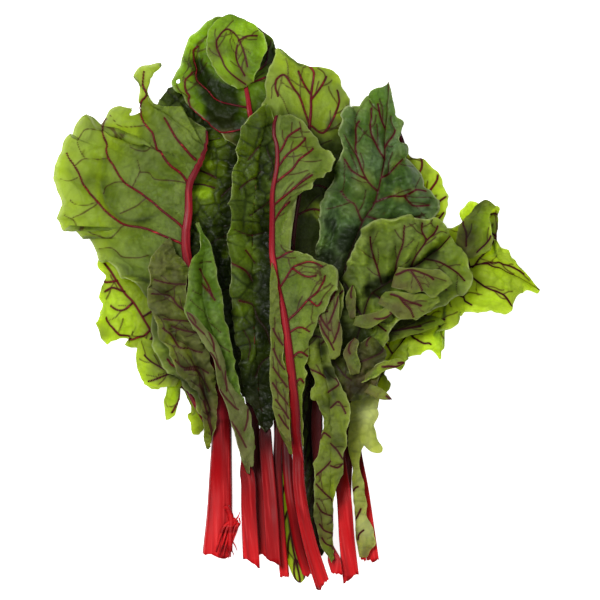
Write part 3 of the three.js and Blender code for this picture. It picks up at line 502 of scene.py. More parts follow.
                (-69.8, 172.8),
            ],
            [
                (-118.1, 142.2), (-113.4, 140.4), (-114.1, 136.1), (-117.4, 133.2), (-119.5, 133.6),
                (-117, 138.2),
            ],
        ],
        spots=[
            (-162, 97, 13, 0.28), (-163, 68, 9, 0.2), (-132, 122, 6, 0.5), (-117, 117, 6, 0.3),
            (-95, 47, 10, -0.3), (-86, 61, 10, -0.3), (-106, 0, 19, -0.2),
        ],
        folds=[
            (-4, 4, [(-133, 27), (-120, 20), (-107, 13)]), (3, 6, [(-129, 36), (-116, 27), (-106, 22)]),
            (-3, 4, [(-127, 7), (-113, 0), (-106, -2)]), (3, 8, [(-133, 97), (-129, 76), (-117, 65)]),
            (-3, 3, [(-139, 101), (-141, 83), (-138, 70), (-128, 60), (-114, 57), (-100, 61)]),
        ],
        fibres=[
            (2.2, [(-51.1, -148.3), (-47.5, -157), (-48.2, -169.9), (-48.2, -181.4)]),
            (1.5, [(-44.6, -157.7), (-51.8, -162.7), (-55.4, -170.6), (-58.3, -181.4)]),
            (1.5, [(-43.9, -157.7), (-49.7, -163.4), (-52.6, -172.1), (-56.2, -183.6)]),
            (1.5, [(-43.2, -158.4), (-47.5, -164.2), (-50.4, -172.8), (-53.3, -184.3)]),
            (1.4, [(-43.2, -159.8), (-45.4, -166.3), (-48.2, -174.2), (-50.4, -182.9)]),
            (1.3, [(-42.5, -160.6), (-43.9, -166.3), (-46.1, -172.8), (-48.2, -180.7)]),
            (0.6, [(-41.8, -157), (-41, -161.3), (-42.5, -164.2)]),
            (0.6, [(-51.1, -178.6), (-49.7, -182.2), (-49, -186.5)]),
            (0.6, [(-49, -177.1), (-46.8, -180.7), (-45.4, -184.3)]),
            (0.6, [(-46.8, -173.5), (-44.6, -177.1), (-43.2, -180.7)]),
            (0.6, [(-43.9, -158.4), (-41.8, -154.8), (-41, -151.9)]),
        ],
        twigs=[
            [
                (-124, 54), (-129, 49), (-136, 44), (-142, 45), (-149, 48), (-156, 53), (-161, 58),
                (-168, 63),
            ],
            [(-144, 71), (-153, 69), (-161, 70), (-164, 73)], [(-144, 69), (-153, 64), (-161, 60)],
            [(-158, 88), (-163, 86), (-167, 85), (-172, 87)],
            [(-160, 97), (-156, 100), (-152, 102), (-143, 102), (-136, 102)],
            [
                (-141, 122), (-147, 124), (-153, 124), (-157, 121), (-159, 117), (-158, 111), (-155, 106),
                (-152, 102),
            ],
            [(-124, 85), (-131, 84), (-138, 81), (-140, 76)],
            [(-119, 81), (-116, 86), (-113, 92), (-114, 97), (-115, 101)],
            [(-109, 73), (-114, 69), (-120, 66), (-127, 63)],
            [
                (-100, 109), (-107, 108), (-114, 108), (-120, 110), (-122, 115), (-127, 119), (-133, 122),
                (-138, 125),
            ],
            [(-109, 126), (-117, 125), (-127, 126), (-132, 129), (-135, 133)],
            [(-78, 83), (-84, 85), (-91, 86), (-102, 87), (-106, 91), (-113, 92)],
            [(-107, 32), (-114, 30), (-122, 30), (-127, 31), (-131, 35), (-135, 37), (-143, 36)],
        ],
    ),
    dict(
        FOLD, name="broad_left_gather", on="broad_left", tone=(-0.2, 0.42), pucker=2.4, cell=8,
        crumple=4.5, swell=1.6, crest=5, margins=(4, 2.5), spacing=11,
        rows=[
            (-66, -106, -64, -107, -62, -105), (-67, -95, -63, -95, -59, -92),
            (-68, -81, -63, -79, -58, -76), (-71, -68, -65, -65, -59, -60),
            (-77, -60, -69, -53, -61, -48), (-84, -53, -74, -43, -64, -37),
            (-91, -39, -79, -32, -67, -31), (-99, -24, -84, -22, -71, -20),
            (-100, -14, -87, -13, -73, -12), (-106, -4, -91, -2, -78, 0), (-107, 7, -93, 9, -78, 11),
            (-106, 20, -94, 22, -79, 23), (-104, 31, -93, 32, -83, 29), (-98, 38, -93, 38, -88, 36),
            (-91, 45, -91, 45, -91, 45),
        ],
        spots=[
            (-93, 27, 9, 0.35), (-95, -32, 7, 0.2), (-73, -65, 10, -0.5), (-80, -43, 7, -0.2),
            (-80, 0, 6, -0.4),
        ],
        folds=[
            (3, 3, [(-102, 0), (-96, -13), (-91, -22)]), (-4, 3, [(-106, -6), (-93, -16), (-86, -29)]),
            (3, 2.5, [(-84, -32), (-73, -52), (-65, -79)]),
            (-3, 2.5, [(-78, -32), (-68, -54), (-62, -83)]), (3, 3, [(-90, 35), (-94, 20), (-93, 7)]),
        ],
        veins=[
            [(-79, 11), (-91, 12), (-102, 15)], [(-72, -13), (-84, -5), (-91, 3), (-104, 5)],
            [(-76, -15), (-90, -14), (-95, -13)], [(-69, -24), (-77, -23), (-90, -19)],
            [(-68, -37), (-76, -35), (-84, -34), (-90, -25), (-96, -20)],
            [(-64, -52), (-73, -48), (-81, -48), (-87, -43)],
            [(-63, -65), (-68, -56), (-73, -50), (-80, -50)], [(-62, -79), (-66, -69), (-70, -60)],
            [(-61, -94), (-64, -82), (-67, -72)], [(-61, -101), (-62, -92), (-64, -85)],
        ],
    ),
    dict(
        LEAF, name="front_right", face_up=True, stalk_width=(12, 8, 2), stalk_height=(8, 5.5, 1.4),
        cut_slant=-0.55, crest=9, margins=(6, 6), phase=0.2, pillow=2.2, pucker=1.4, cell=12, spacing=14,
        swell=3.2, finish="olive", crumple=3.6,
        stalk=[(39, -201), (36, -173), (34, -144), (31, -121), (28, -94), (31, -72)],
        rows=[
            (32, -56, 38, -58, 45, -60), (30, -29, 42, -33, 57, -40), (31, -4, 47, -14, 66, -25),
            (35, 20, 52, 2, 71, -16), (40, 35, 60, 9, 81, -14), (46, 46, 68, 14, 89, -12),
            (53, 55, 76, 19, 100, -5), (64, 59, 82, 23, 110, 0), (76, 60, 89, 27, 120, 6),
            (86, 58, 95, 32, 126, 14), (94, 57, 101, 36, 125, 22), (102, 58, 105, 40, 117, 35),
            (110, 46, 110, 46, 110, 46),
        ],
        veins=[
            [(81, 22), (85, 31), (92, 42), (89, 49), (89, 55)], [(82, 24), (92, 18), (98, 17), (107, 7)],
            [(92, 42), (99, 49), (101, 53)], [(69, 14), (71, 27), (76, 40), (77, 53)],
            [(61, 10), (58, 23), (54, 36), (53, 45)], [(74, 17), (83, 9), (91, 0), (94, -7)],
            [(54, 5), (63, -1), (73, -7), (80, -12)], [(91, 30), (103, 27), (114, 20), (120, 14)],
            [(47, -13), (40, 0), (35, 11)], [(47, -13), (55, -16), (64, -22)],
        ],
        holes=[[(94.3, 19.4), (96.5, 21.2), (100.1, 20.9), (100.8, 18.7), (97.2, 16.9), (95, 17.3)]],
        spots=[
            (63, 10, 9, -1.0), (54, 6, 6, -0.9), (96, 34, 6, -0.7), (37, 18, 7, -0.5),
            (45, -29, 12, -0.9), (73, 52, 10, 0.2),
        ],
        folds=[
            (4, 4, [(50, 52), (46, 29), (45, 7)]), (3, 4, [(67, 40), (63, 22), (60, 7)]),
            (-4, 3, [(55, 49), (53, 27), (51, 9)]), (-5, 3.5, [(53, 7), (71, 17), (85, 23), (105, 41)]),
            (3, 4, [(40, 32), (35, 7), (34, -14)]),
        ],
    ),
    dict(
        FOLD, name="front_right_lobe_a", on="front_right", tone=(-0.5, 0.5), crest=4, margins=(3, 2),
        crumple=5.5, pucker=2.4, cell=7, spacing=30,
        rows=[
            (28, -71, 37, -72, 45, -71), (23, -61, 38, -62, 55, -65), (21, -51, 40, -51, 59, -54),
            (23, -42, 42, -42, 62, -45), (35, -35, 48, -35, 63, -37), (45, -30, 53, -30, 58, -30),
            (53, -26, 53, -26, 53, -26),
        ],
    ),
    dict(
        FOLD, name="front_right_lobe_e", on="front_right", tone=(-0.1, 0.25), dome=1.5, crumple=2,
        pucker=2, cell=6, crest=4, margins=(4, 2), spacing=30,
        rows=[
            (37, -53, 40, -53, 45, -52), (35, -46, 39, -46, 45, -45), (33, -38, 38, -37, 43, -37),
            (36, -32, 40, -31, 44, -30), (41, -27, 41, -27, 41, -27),
        ],
    ),
    dict(
        FOLD, name="front_right_lobe_f", on="front_right", tone=(0.12, 0.05), dome=1.5, crumple=1.5,
        cell=7, crest=4, margins=(4, 3), spacing=30,
        rows=[
            (45, -58, 48, -55, 50, -52), (53, -55, 56, -50, 60, -45), (63, -50, 66, -45, 68, -42),
            (71, -48, 73, -45, 74, -42), (77, -45, 77, -45, 77, -45),
        ],
    ),
    dict(
        FOLD, name="front_right_lobe_g", on="front_right", tone=(0.1, 0.35), crest=3, margins=(3, 2),
        crumple=0.5, spacing=30,
        rows=[
            (48, -65, 50, -63, 52, -60), (55, -69, 57, -66, 60, -63), (61, -71, 63, -68, 64, -66),
            (68, -71, 68, -71, 68, -71),
        ],
    ),
    dict(
        FOLD, name="front_right_lobe_h", on="front_right", tone=(0.05, 0.2), crest=4, margins=(4, 2),
        crumple=2.5, pucker=1.6, cell=6, spacing=30,
        rows=[
            (37, -13, 40, -13, 42, -12), (35, -4, 39, -4, 42, -2), (35, 2, 39, 3, 42, 4),
            (37, 7, 40, 7, 41, 8), (40, 11, 40, 11, 40, 11),
        ],
    ),
    dict(
        FOLD, name="front_right_lobe_b", on="front_right", tone=(0.08, 0.12), crest=4, margins=(4.5, 1.5),
        spacing=30,
        rows=[
            (40, -17, 41, -14, 42, -12), (48, -20, 50, -15, 53, -9), (57, -17, 58, -12, 61, -6),
            (64, -13, 66, -9, 68, -4), (70, -8, 70, -8, 70, -8),
        ],
    ),
    dict(
        FOLD, name="front_right_lobe_c", on="front_right", tone=(0.02, 0.1), crest=4, margins=(5, 2),
        rows=[
            (58, -2, 60, 3, 63, 6), (66, -7, 69, 0, 72, 6), (73, -12, 77, -4, 80, 5),
            (81, -14, 85, -4, 88, 5), (89, -11, 93, -4, 96, 4), (96, -6, 99, -1, 101, 2),
            (102, -1, 102, -1, 102, -1),
        ],
        veins=[[(67, 4), (78, 0), (89, -4)], [(74, 1), (80, -6), (83, -12)]],
    ),
    dict(
        FOLD, name="front_right_lobe_d", on="front_right", tone=(0.0, 0.12), crest=5, margins=(5, 2),
        rows=[
            (67, 10, 69, 17, 72, 23), (74, 8, 77, 16, 79, 23), (82, 5, 85, 14, 87, 23),
            (90, 6, 94, 14, 96, 22), (96, 2, 101, 11, 103, 21), (103, 6, 106, 12, 108, 17),
            (111, 12, 111, 12, 111, 12),
        ],
        veins=[[(71, 18), (80, 21), (89, 19), (97, 15)], [(81, 21), (86, 13), (89, 7)]],
    ),
    dict(
        LEAF, name="narrow_left", face_up=True, stalk_width=(12, 10.5, 2), stalk_height=(9, 6, 1.4),
        cut_slant=0.9, crest=9, margins=(12, 12), dome=3, wave=2, phase=0.5, tone=(0.12, 0),
        plain_rib=True, pillow=1.6, pucker=1.0, cell=10, spacing=14, swell=2.0, finish="mid", crumple=1.8,
        stalk=[(-33, -189), (-34, -169), (-35, -148)],
        rows=[
            (-36, -125, -35, -125, -33, -125), (-40, -115, -39, -115, -32, -113),
            (-42, -105, -41, -105, -30, -104), (-44, -94, -43, -94, -31, -96),
            (-47, -83, -46, -83, -34, -86), (-49, -73, -48, -73, -37, -76),
            (-52, -65, -50, -65, -39, -67), (-60, -42, -53, -44, -44, -45),
            (-69, -27, -59, -28, -48, -27), (-79, -13, -65, -13, -50, -11), (-81, 0, -68, 1, -53, 0),
            (-78, 14, -68, 15, -56, 15), (-76, 27, -67, 28, -58, 27), (-71, 37, -66, 38, -60, 37),
            (-71, 46, -68, 46, -63, 45), (-72, 56, -72, 56, -72, 56),
        ],
        veins=[[(-68, 11), (-63, 6), (-58, 0)], [(-70, 22), (-64, 13), (-60, 3)]],
        spots=[(-37, -108, 10, 0.45), (-44, -81, 9, 0.45), (-41, -94, 9, 0.45), (-61, -22, 7, -0.1)],
        folds=[
            (-3, 3, [(-68, 27), (-66, 0), (-58, -25), (-50, -50)]),
            (3, 4, [(-73, 27), (-75, 0), (-68, -22)]),
        ],
        twigs=[
            [(-77, 0), (-70, -6), (-61, -13)], [(-66, -12), (-60, -18), (-54, -23)],
            [(-61, -25), (-55, -32), (-48, -37)], [(-70, 27), (-61, 27)], [(-75, 7), (-68, 3)],
            [(-47, -75), (-42, -78), (-37, -81)],
        ],
    ),
    dict(
        FOLD, name="narrow_left_fold", on="narrow_left", tone=(0.45, 0.42), crest=2.5, margins=(3, 2),
        spacing=30,
        rows=[
            (-35, -119, -33, -120, -31, -119), (-40, -112, -36, -112, -31, -109),
            (-44, -99, -37, -99, -31, -96), (-48, -86, -40, -84, -34, -81),
            (-50, -75, -45, -73, -39, -71), (-55, -66, -50, -66, -46, -63),
            (-57, -58, -53, -58, -50, -55), (-58, -50, -55, -49, -51, -48),
            (-60, -41, -58, -39, -54, -37), (-66, -32, -63, -30, -59, -27),
            (-71, -23, -68, -21, -66, -19), (-77, -14, -75, -13, -73, -11), (-79, -8, -79, -8, -79, -8),
        ],
    ),
    dict(
        LEAF, name="narrow_right", face_up=True, stalk_width=(8, 9.5, 2), stalk_height=(7, 5, 1.4),
        cut_slant=0.3, crest=9, margins=(11, 10), dome=3, wave=2, phase=1.9, plain_rib=True,
        tone=(-0.02, 0.2), pillow=1.2, pucker=1.3, cell=10, spacing=12, swell=2.4, finish="olive",
        crumple=3.4,
        stalk=[(29, -197), (28, -192)],
        rows=[
            (23, -189, 26, -186, 27, -184), (17, -177, 25, -176, 26, -175),
            (14, -162, 25, -162, 26, -162), (12, -148, 25, -148, 26, -148),
            (12, -133, 24, -135, 28, -135), (12, -119, 24, -120, 33, -122),
            (16, -106, 24, -107, 33, -111), (18, -89, 24, -91, 37, -94), (14, -74, 23, -76, 38, -78),
            (10, -70, 22, -66, 35, -68), (11, -56, 19, -53, 29, -55), (5, -35, 16, -37, 24, -42),
            (8, -19, 17, -22, 30, -26), (14, -10, 21, -10, 32, -12), (15, -4, 23, -1, 34, 0),
            (22, 5, 26, 6, 33, 9), (29, 17, 29, 17, 29, 17),
        ],
        veins=[
            [(24, -103), (29, -108), (33, -114)], [(24, -77), (30, -73), (35, -81)],
            [(24, -119), (29, -120), (32, -117)], [(25, -144), (20, -138), (14, -132)],
            [(26, -158), (20, -153), (14, -146)], [(27, -169), (21, -166), (16, -161)],
            [(27, -179), (22, -176), (18, -171)], [(24, -98), (19, -95), (17, -99)],
            [(24, -115), (18, -121), (14, -125)], [(20, -56), (15, -52), (9, -49)],
            [(22, -66), (30, -60), (28, -56)], [(17, -32), (22, -29), (27, -32)],
            [(17, -27), (11, -26), (7, -30)], [(23, -2), (18, -3), (16, -5)], [(24, 3), (30, 4), (33, 7)],
        ],
        spots=[
            (19, -72, 9, -0.25), (27, -94, 7, -0.2), (17, -108, 14, 0.05), (18, -158, 13, -0.4),
            (24, -52, 6, -0.7), (19, -36, 4, -0.4),
        ],
        folds=[
            (-3, 3, [(17, -32), (21, -52), (27, -68)]), (3, 4, [(11, -36), (15, -56), (20, -71)]),
            (3, 3, [(32, -112), (30, -121), (27, -138)]),
        ],
    ),
    dict(
        FOLD, name="narrow_right_fold", on="narrow_right", tone=(0.08, 0.15), crest=5, margins=(5, 2.5),
        spacing=13,
        rows=[
            (24, -42, 27, -42, 31, -39), (21, -32, 26, -32, 32, -30), (17, -23, 24, -23, 32, -22),
            (15, -13, 22, -13, 30, -12), (14, -6, 22, -4, 30, -1), (19, 2, 24, 4, 30, 7),
            (24, 12, 27, 14, 30, 15), (29, 22, 29, 22, 29, 22),
        ],
    ),
    dict(
        LEAF, name="front_centre", face_up=False, stalk_width=(11, 8, 2), stalk_height=(10, 7, 1.6),
        cut_slant=-0.6, crest=12, margins=(1, 8), dome=3, wave=2, phase=1.2, fold=(0, 14, 7),
        vein_radius=0.8, rib_tone=0.42, pillow=1.8, pucker=0.7, cell=13, spacing=14, swell=2.2,
        finish="olive", crumple=1.2,
        stalk=[(18, -203), (13, -187), (9, -173), (4, -151), (1, -127)],
        rows=[
            (-3, -111, 1, -110, 4, -108), (-13, -99, 0, -99, 4, -98), (-18, -81, 0, -82, 5, -76),
            (-18, -63, -2, -62, 6, -52), (-9, -40, -4, -43, 9, -38), (2, -23, -6, -27, 11, -25),
            (2, -9, -9, -9, 20, -8), (1, 12, -14, 12, 30, 19), (-2, 27, -16, 26, 15, 29),
            (-5, 36, -17, 35, -10, 39), (-4, 50, -17, 50, -7, 56), (-2, 63, -17, 63, 0, 71),
            (0, 78, -17, 77, 15, 86), (1, 95, -14, 95, 27, 97), (-1, 109, -14, 109, 18, 111),
            (-5, 118, -16, 117, 10, 120), (-9, 125, -16, 125, 1, 130), (-14, 132, -14, 132, -14, 132),
        ],
        veins=[
            [(-17, 67), (-6, 76), (3, 84), (11, 89)], [(-17, 55), (-11, 64), (-5, 70)],
            [(-17, 29), (-8, 33), (-3, 35)], [(-13, 7), (-9, 14), (-3, 23), (3, 26), (10, 27), (18, 24)],
            [(-8, -16), (0, -8), (8, 0), (15, 7), (20, 17)], [(-6, -24), (2, -19), (9, -22)],
            [(-14, 104), (-8, 114), (-4, 118), (2, 122)], [(-15, 84), (-4, 93), (2, 100), (11, 108)],
            [(-14, 94), (-6, 104), (1, 109), (6, 115)], [(8, 0), (14, -4), (17, -2)],
            [(-3, 23), (6, 17), (14, 17)], [(-4, -43), (2, -37), (8, -40)],
            [(-2, -61), (2, -56), (5, -59)],
        ],
        spots=[(2, 108, 14, 0.22), (-4, 0, 9, -0.2), (-9, -29, 7, 0.15)],
        folds=[
            (3, 5, [(2, 108), (9, 97), (15, 89)]), (-2.5, 4, [(-1, 63), (2, 43), (2, 27)]),
            (3, 5, [(4, 22), (14, 14), (18, 7)]),
        ],
    ),
    dict(
        FOLD, name="front_centre_gather", on="front_centre", tone=(0.15, 0.2), pucker=1.6, cell=7,
        crumple=3.0, crest=3, margins=(2, 2), spacing=9,
        rows=[
            (-6, -101, -5, -101, -4, -100), (-12, -92, -8, -92, -5, -89), (-16, -81, -11, -80, -6, -78),
            (-18, -69, -12, -68, -6, -66), (-19, -58, -13, -57, -7, -55), (-19, -45, -14, -44, -9, -43),
            (-19, -29, -14, -28, -10, -27), (-19, -14, -15, -14, -12, -14), (-19, 0, -16, 0, -13, 1),
            (-19, 14, -17, 14, -14, 15), (-18, 27, -18, 27, -18, 27),
        ],
        veins=[
            [(-10, -32), (-14, -26), (-17, -20)], [(-9, -49), (-14, -42), (-17, -35)],
            [(-7, -62), (-12, -55), (-17, -48)], [(-6, -75), (-12, -67), (-17, -59)],
            [(-6, -84), (-10, -78), (-15, -71)], [(-6, -92), (-9, -88), (-13, -82)],
        ],
    ),
]


WHOLE_TURN = 6.28  # a phase is drawn from this range


def mix(a, b, t):
    return a + (b - a) * t


def smooth(x):
    x = np.clip(x, 0, 1)
    return x * x * (3 - 2 * x)


# Curves and noise


def curve_through(points, at):
    """Catmull-Rom curve through rows of numbers, at fractional row indices."""
    points = np.asarray(points, float)
    ends = (2 * points[0] - points[1], 2 * points[-1] - points[-2])
    padded = np.vstack([ends[0], points, ends[1]])
    i = np.clip(np.floor(at).astype(int), 0, len(points) - 2)
    f = (np.asarray(at) - i)[:, None]
    a, b, c, d = padded[i], padded[i + 1], padded[i + 2], padded[i + 3]
    cubic = (-a + 3 * b - 3 * c + d) * f**3
    return 0.5 * (2 * b + (c - a) * f + (2 * a - 5 * b + 4 * c - d) * f**2 + cubic)


def arc_lengths(points):
    steps = np.linalg.norm(np.diff(points, axis=0), axis=1)
    return np.concatenate([[0], np.cumsum(steps)])


def waves_1d(s, lengths, heights, seed):
    """A sum of sines of the given wavelengths, with their phases drawn by seed."""
    draw = np.random.default_rng(seed)
    total = np.zeros_like(s)
    for length, height in zip(lengths, heights):
        for part in (1.0, 1.37):
            total += height * 0.6 * np.sin(2 * np.pi * s * part / length + draw.uniform(0, WHOLE_TURN))
    return total


def waves_2d(xy, length, seed, count=14):
    """Smooth random relief of about the given wavelength, within about -1 to 1."""
    draw = np.random.default_rng(seed)
    total = np.zeros(len(xy))
    for _ in range(count):
        turn = draw.uniform(0, 2 * np.pi)
        pace = 2 * np.pi / (length * draw.uniform(0.7, 1.6))
        run = xy[:, 0] * np.cos(turn) + xy[:, 1] * np.sin(turn)
        total += np.cos(run * pace + draw.uniform(0, WHOLE_TURN))
    return total / math.sqrt(count)


def crumple_2d(xy, length, seed):
    """Sharp ridges with soft valleys between them, within about 0 to 1."""
    coarse = 1 - np.abs(waves_2d(xy, length, seed, 7)) * 1.3
    fine = 1 - np.abs(waves_2d(xy, length * 0.45, seed + 1, 7)) * 1.3
    return np.clip(coarse, -0.5, 1) * 0.65 + np.clip(fine, -0.5, 1) * 0.35


def dense_line(points, step=1.5):
    """Points at even spacing along a smooth curve in plan."""
    points = np.asarray(points, float)
    count = max(3, math.ceil(arc_lengths(points)[-1] / step))
    return curve_through(points, np.linspace(0, len(points) - 1, count))


# The pile: a leaf is lifted until it clears what lies under it


def plan_cell(x, y):
    return ((y - PLAN_Y) / CELL).astype(int) * PLAN_NX + ((x - PLAN_X) / CELL).astype(int)


def sample_lift(lift, x, y):
    gx = (x - PLAN_X) / CELL - 0.5
    gy = (y - PLAN_Y) / CELL - 0.5
    ix = np.floor(gx).astype(int)
    iy = np.floor(gy).astype(int)
    k = iy * PLAN_NX + ix
    low = mix(lift[k], lift[k + 1], gx - ix)
    high = mix(lift[k + PLAN_NX], lift[k + PLAN_NX + 1], gx - ix)
    return mix(low, high, gy - iy)


def neighbours(field):
    """The sum of the four cells round each cell."""
    return np.roll(field, 1, 0) + np.roll(field, -1, 0) + np.roll(field, 1, 1) + np.roll(field, -1, 1)


def bend_over(need):
    """Soft domes of the bend radius over all that needs lifting."""
    lift = need.reshape(PLAN_NY, PLAN_NX)
    reach = math.ceil(math.sqrt(2 * BEND_RADIUS * HIGHEST_LIFT) / CELL)
    for axis in (0, 1):
        source = lift
        lift = source.copy()
        for d in range(1, reach + 1):
            drop = (d * CELL) ** 2 / (2 * BEND_RADIUS)
            for step in (d, -d):
                moved = np.roll(source, step, axis) - drop
                lift = np.maximum(lift, moved)
    for _ in range(24):
        lift = np.maximum(lift, neighbours(lift) / 4)
    return lift.ravel()


def settle(shell, pile):
    """The lift field that carries the points of shell clear of the pile."""
    need = np.zeros(PLAN_NX * PLAN_NY)
    lift = need.copy()
    cells = plan_cell(shell[:, 0], shell[:, 1])
    corner = plan_cell(shell[:, 0] - CELL / 2, shell[:, 1] - CELL / 2)
    for _ in range(10):
        raised = sample_lift(lift, shell[:, 0], shell[:, 1])
        short = pile[cells] + LAYER_GAP - shell[:, 2] - raised
        if short.max() < LIFT_SLACK:
            break
        low = short > 0
        for k in (0, 1, PLAN_NX, PLAN_NX + 1):
            np.maximum.at(need, corner[low] + k, (raised + short)[low])
        lift = bend_over(need)
    top = shell[:, 2] + sample_lift(lift, shell[:, 0], shell[:, 1])
    np.maximum.at(pile, cells, top)
    return lift


def blurred_top(pile):
    """The height of the pile, blurred over some 10 mm."""
    top = np.maximum(pile, 0).reshape(PLAN_NY, PLAN_NX)
    for _ in range(26):
        top = (top + neighbours(top)) / 5
    return top.ravel()


def press_share(pile, limit):
    """How far heights are drawn in where the pile is taller than the limit."""
    top = pile.reshape(PLAN_NY, PLAN_NX).copy()
    for _ in range(8):
        for axis in (0, 1):
            top = np.maximum(top, np.maximum(np.roll(top, 1, axis), np.roll(top, -1, axis)))
    for _ in range(40):
        for axis in (0, 1):
            top = (np.roll(top, 1, axis) + top * 2 + np.roll(top, -1, axis)) / 4
    return np.minimum(1, limit / np.maximum(top, 1)).reshape(-1)


def pressed(points):
    """Points with their heights drawn in."""
    flat = points.reshape(-1, 3).copy()
    flat[:, 2] *= sample_lift(PRESS, flat[:, 0] + SHIFT[0], flat[:, 1] + SHIFT[1])
    return flat.reshape(points.shape)


def hollow_shade(points):
    """0 for a point level with the pile around it, 1 for one deep between other leaves."""
    depth = sample_lift(TOP, points[:, 0], points[:, 1]) - points[:, 2]
    return smooth((depth - SHADE_START) / SHADE_DEPTH)


# A blade is worked out on a grid: rows from base to tip, columns from margin to margin


def rib_size(leaf, u, sizes):
    along = np.clip(u / (len(leaf["rows"]) - 1), 0, 1) ** 0.7
    return mix(sizes[1], sizes[2], along)


def spine_height(leaf, u):
    along = u / (len(leaf["rows"]) - 1)
    rise = np.minimum(1, (u + 1) / 3) * (1 - 0.45 * along**2)
    under = np.full_like(u, SHEET)
    if leaf["face_up"] and "stalk" in leaf:
        under = under + RIB_GAP + rib_size(leaf, u, leaf["stalk_height"])
    return np.maximum(under, leaf["crest"] * rise)


def is_folded(leaf, side):
    return "fold" in leaf and leaf["fold"][0] == side


def half_blade(leaf, u, t, side):
    """One half of a blade, midrib to margin: an array of rows by columns by xyz."""
    rows = curve_through(leaf["rows"], u)
    last = len(leaf["rows"]) - 1
    tip = (1 - np.exp(-(last - u) / 2))[:, None]
    flat = np.zeros((len(u), 1))
    spine = np.hstack([rows[:, 2:4], spine_height(leaf, u)[:, None]])
    end = np.hstack([rows[:, 4 * side:4 * side + 2], flat])
    reach = end - spine
    across = np.linalg.norm(reach[:, :2], axis=1)[:, None]
    size = np.minimum(1, across / CALM_WIDTH) * tip
    bend = (spine + end) / 2
    seed = leaf["number"] * 10 + side
    margin = arc_lengths(end)[:, None]
    folded = is_folded(leaf, side)
    if folded:
        end[:, 2] = np.maximum(SHEET, spine[:, 2] - FOLD_DROP)
        away = -1 if side == 0 else 1
        bulge = mix(leaf["fold"][1], leaf["fold"][2], u / last)[:, None]
        bend[:, :1] = spine[:, :1] + away * bulge * tip
        bend[:, 1] = mix(spine[:, 1], end[:, 1], 0.25)
        bend[:, 2] = mix(spine[:, 2], end[:, 2], 0.35)
    else:
        torn = waves_1d(margin, *TORN_EDGE, seed)
        end += reach / np.maximum(across, 1) * torn * size * [1, 1, 0]
        level = mix(spine[:, 2:], leaf["margins"][side], np.minimum(1, across / 12))
        end[:, 2:] = np.maximum(SHEET, level)
        bend[:, 2:] = (spine[:, 2:] + end[:, 2:]) / 2 + leaf["dome"] * size * np.minimum(1, u[:, None] / 3)
    t = t[None, :, None]
    grid = (1 - t) ** 2 * spine[:, None] + 2 * t * (1 - t) * bend[:, None] + t**2 * end[:, None]
    if not folded:
        frill = waves_1d(margin, *FRILL, seed + 5) * size
        curl = np.maximum(0, waves_1d(margin, *CURL, seed + 7)) * size
        lip = np.clip((t - 0.82) / 0.18, 0, 1) ** 2
        wave = leaf["wave"] * size * np.sin(margin / WAVE_PACE + leaf["phase"] + 1.3 * side)
        grid[:, :, 2:] += wave[:, None] * t**2 + frill[:, None] * t**4 + curl[:, None] * lip
        grid[:, :, 2] = np.maximum(grid[:, :, 2], SHEET / 2)
    return grid


def blade_grid(leaf):
    """The smooth sheet of a leaf, where its rows lie, and which column is the midrib."""
    last = len(leaf["rows"]) - 1
    fine = np.linspace(0, last, 800)
    rows = curve_through(leaf["rows"], fine)
    lengths = [arc_lengths(rows[:, k:k + 2]) for k in (0, 2, 4)]
    length = mix(lengths[1], np.maximum(lengths[0], lengths[2]), 0.5)
    count = math.ceil(length[-1] / MESH_STEP)
    u = np.interp(np.linspace(0, length[-1], count), length, fine)
    halves = []
    for side in (0, 1):
        width = np.linalg.norm(rows[:, 4 * side:4 * side + 2] - rows[:, 2:4], axis=1)
        columns = math.ceil(np.quantile(width, 0.85) / MESH_STEP) + 2
        if is_folded(leaf, side):
            columns = math.ceil(columns * 0.8)
        halves.append(half_blade(leaf, u, np.linspace(0, 1, max(5, columns)), side))
    return u, np.concatenate([halves[0][:, ::-1], halves[1][:, 1:]], axis=1), halves[0].shape[1] - 1


def grid_normals(grid):
    along = np.gradient(grid, axis=0)
    across = np.gradient(grid, axis=1)
    normals = np.cross(across, along)
    return normals / np.maximum(np.linalg.norm(normals, axis=2, keepdims=True), 1e-9)


def nearest_distance(points, targets, order=1, batch=4000):
    """Distances from each point to its nearest targets, as many as order says."""
    out = np.full((len(points), order), 1e3)
    targets = np.asarray(targets, float)
    square = (targets**2).sum(1)
    for start in range(0, len(points), batch):
        part = points[start:start + batch]
        gap = (part**2).sum(1)[:, None] + square - 2 * part @ targets.T
        near = np.partition(gap, order - 1, axis=1)[:, :order]
        out[start:start + batch] = np.sqrt(np.maximum(near, 0))
    return np.sort(out, axis=1)


# Veins are paths on the grid, as fractional row and column


def grid_point(values, path):
    path = np.asarray(path, float)
    i = np.clip(np.floor(path[:, 0]).astype(int), 0, values.shape[0] - 2)
    j = np.clip(np.floor(path[:, 1]).astype(int), 0, values.shape[1] - 2)
    f = (path[:, 0] - i)[:, None]
    g = (path[:, 1] - j)[:, None]
    low = mix(values[i, j], values[i, j + 1], g)
    high = mix(values[i + 1, j], values[i + 1, j + 1], g)
    return mix(low, high, f)


def denser(path, times_over=5):
    """The path with straight steps cut into shorter ones."""
    path = np.asarray(path, float)
    steps = np.linspace(0, len(path) - 1, (len(path) - 1) * times_over + 1)
    return np.column_stack([np.interp(steps, np.arange(len(path)), column) for column in path.T])


def smooth_path(path, grid, step=1.6):
    path = np.asarray(path, float)
    length = arc_lengths(grid_point(grid, path))[-1]
    count = max(4, math.ceil(length / step))
    fine = curve_through(path, np.linspace(0, len(path) - 1, count))
    fine[:, 0] = np.clip(fine[:, 0], 0, grid.shape[0] - 1.001)
    fine[:, 1] = np.clip(fine[:, 1], 0, grid.shape[1] - 1.001)
    return fine


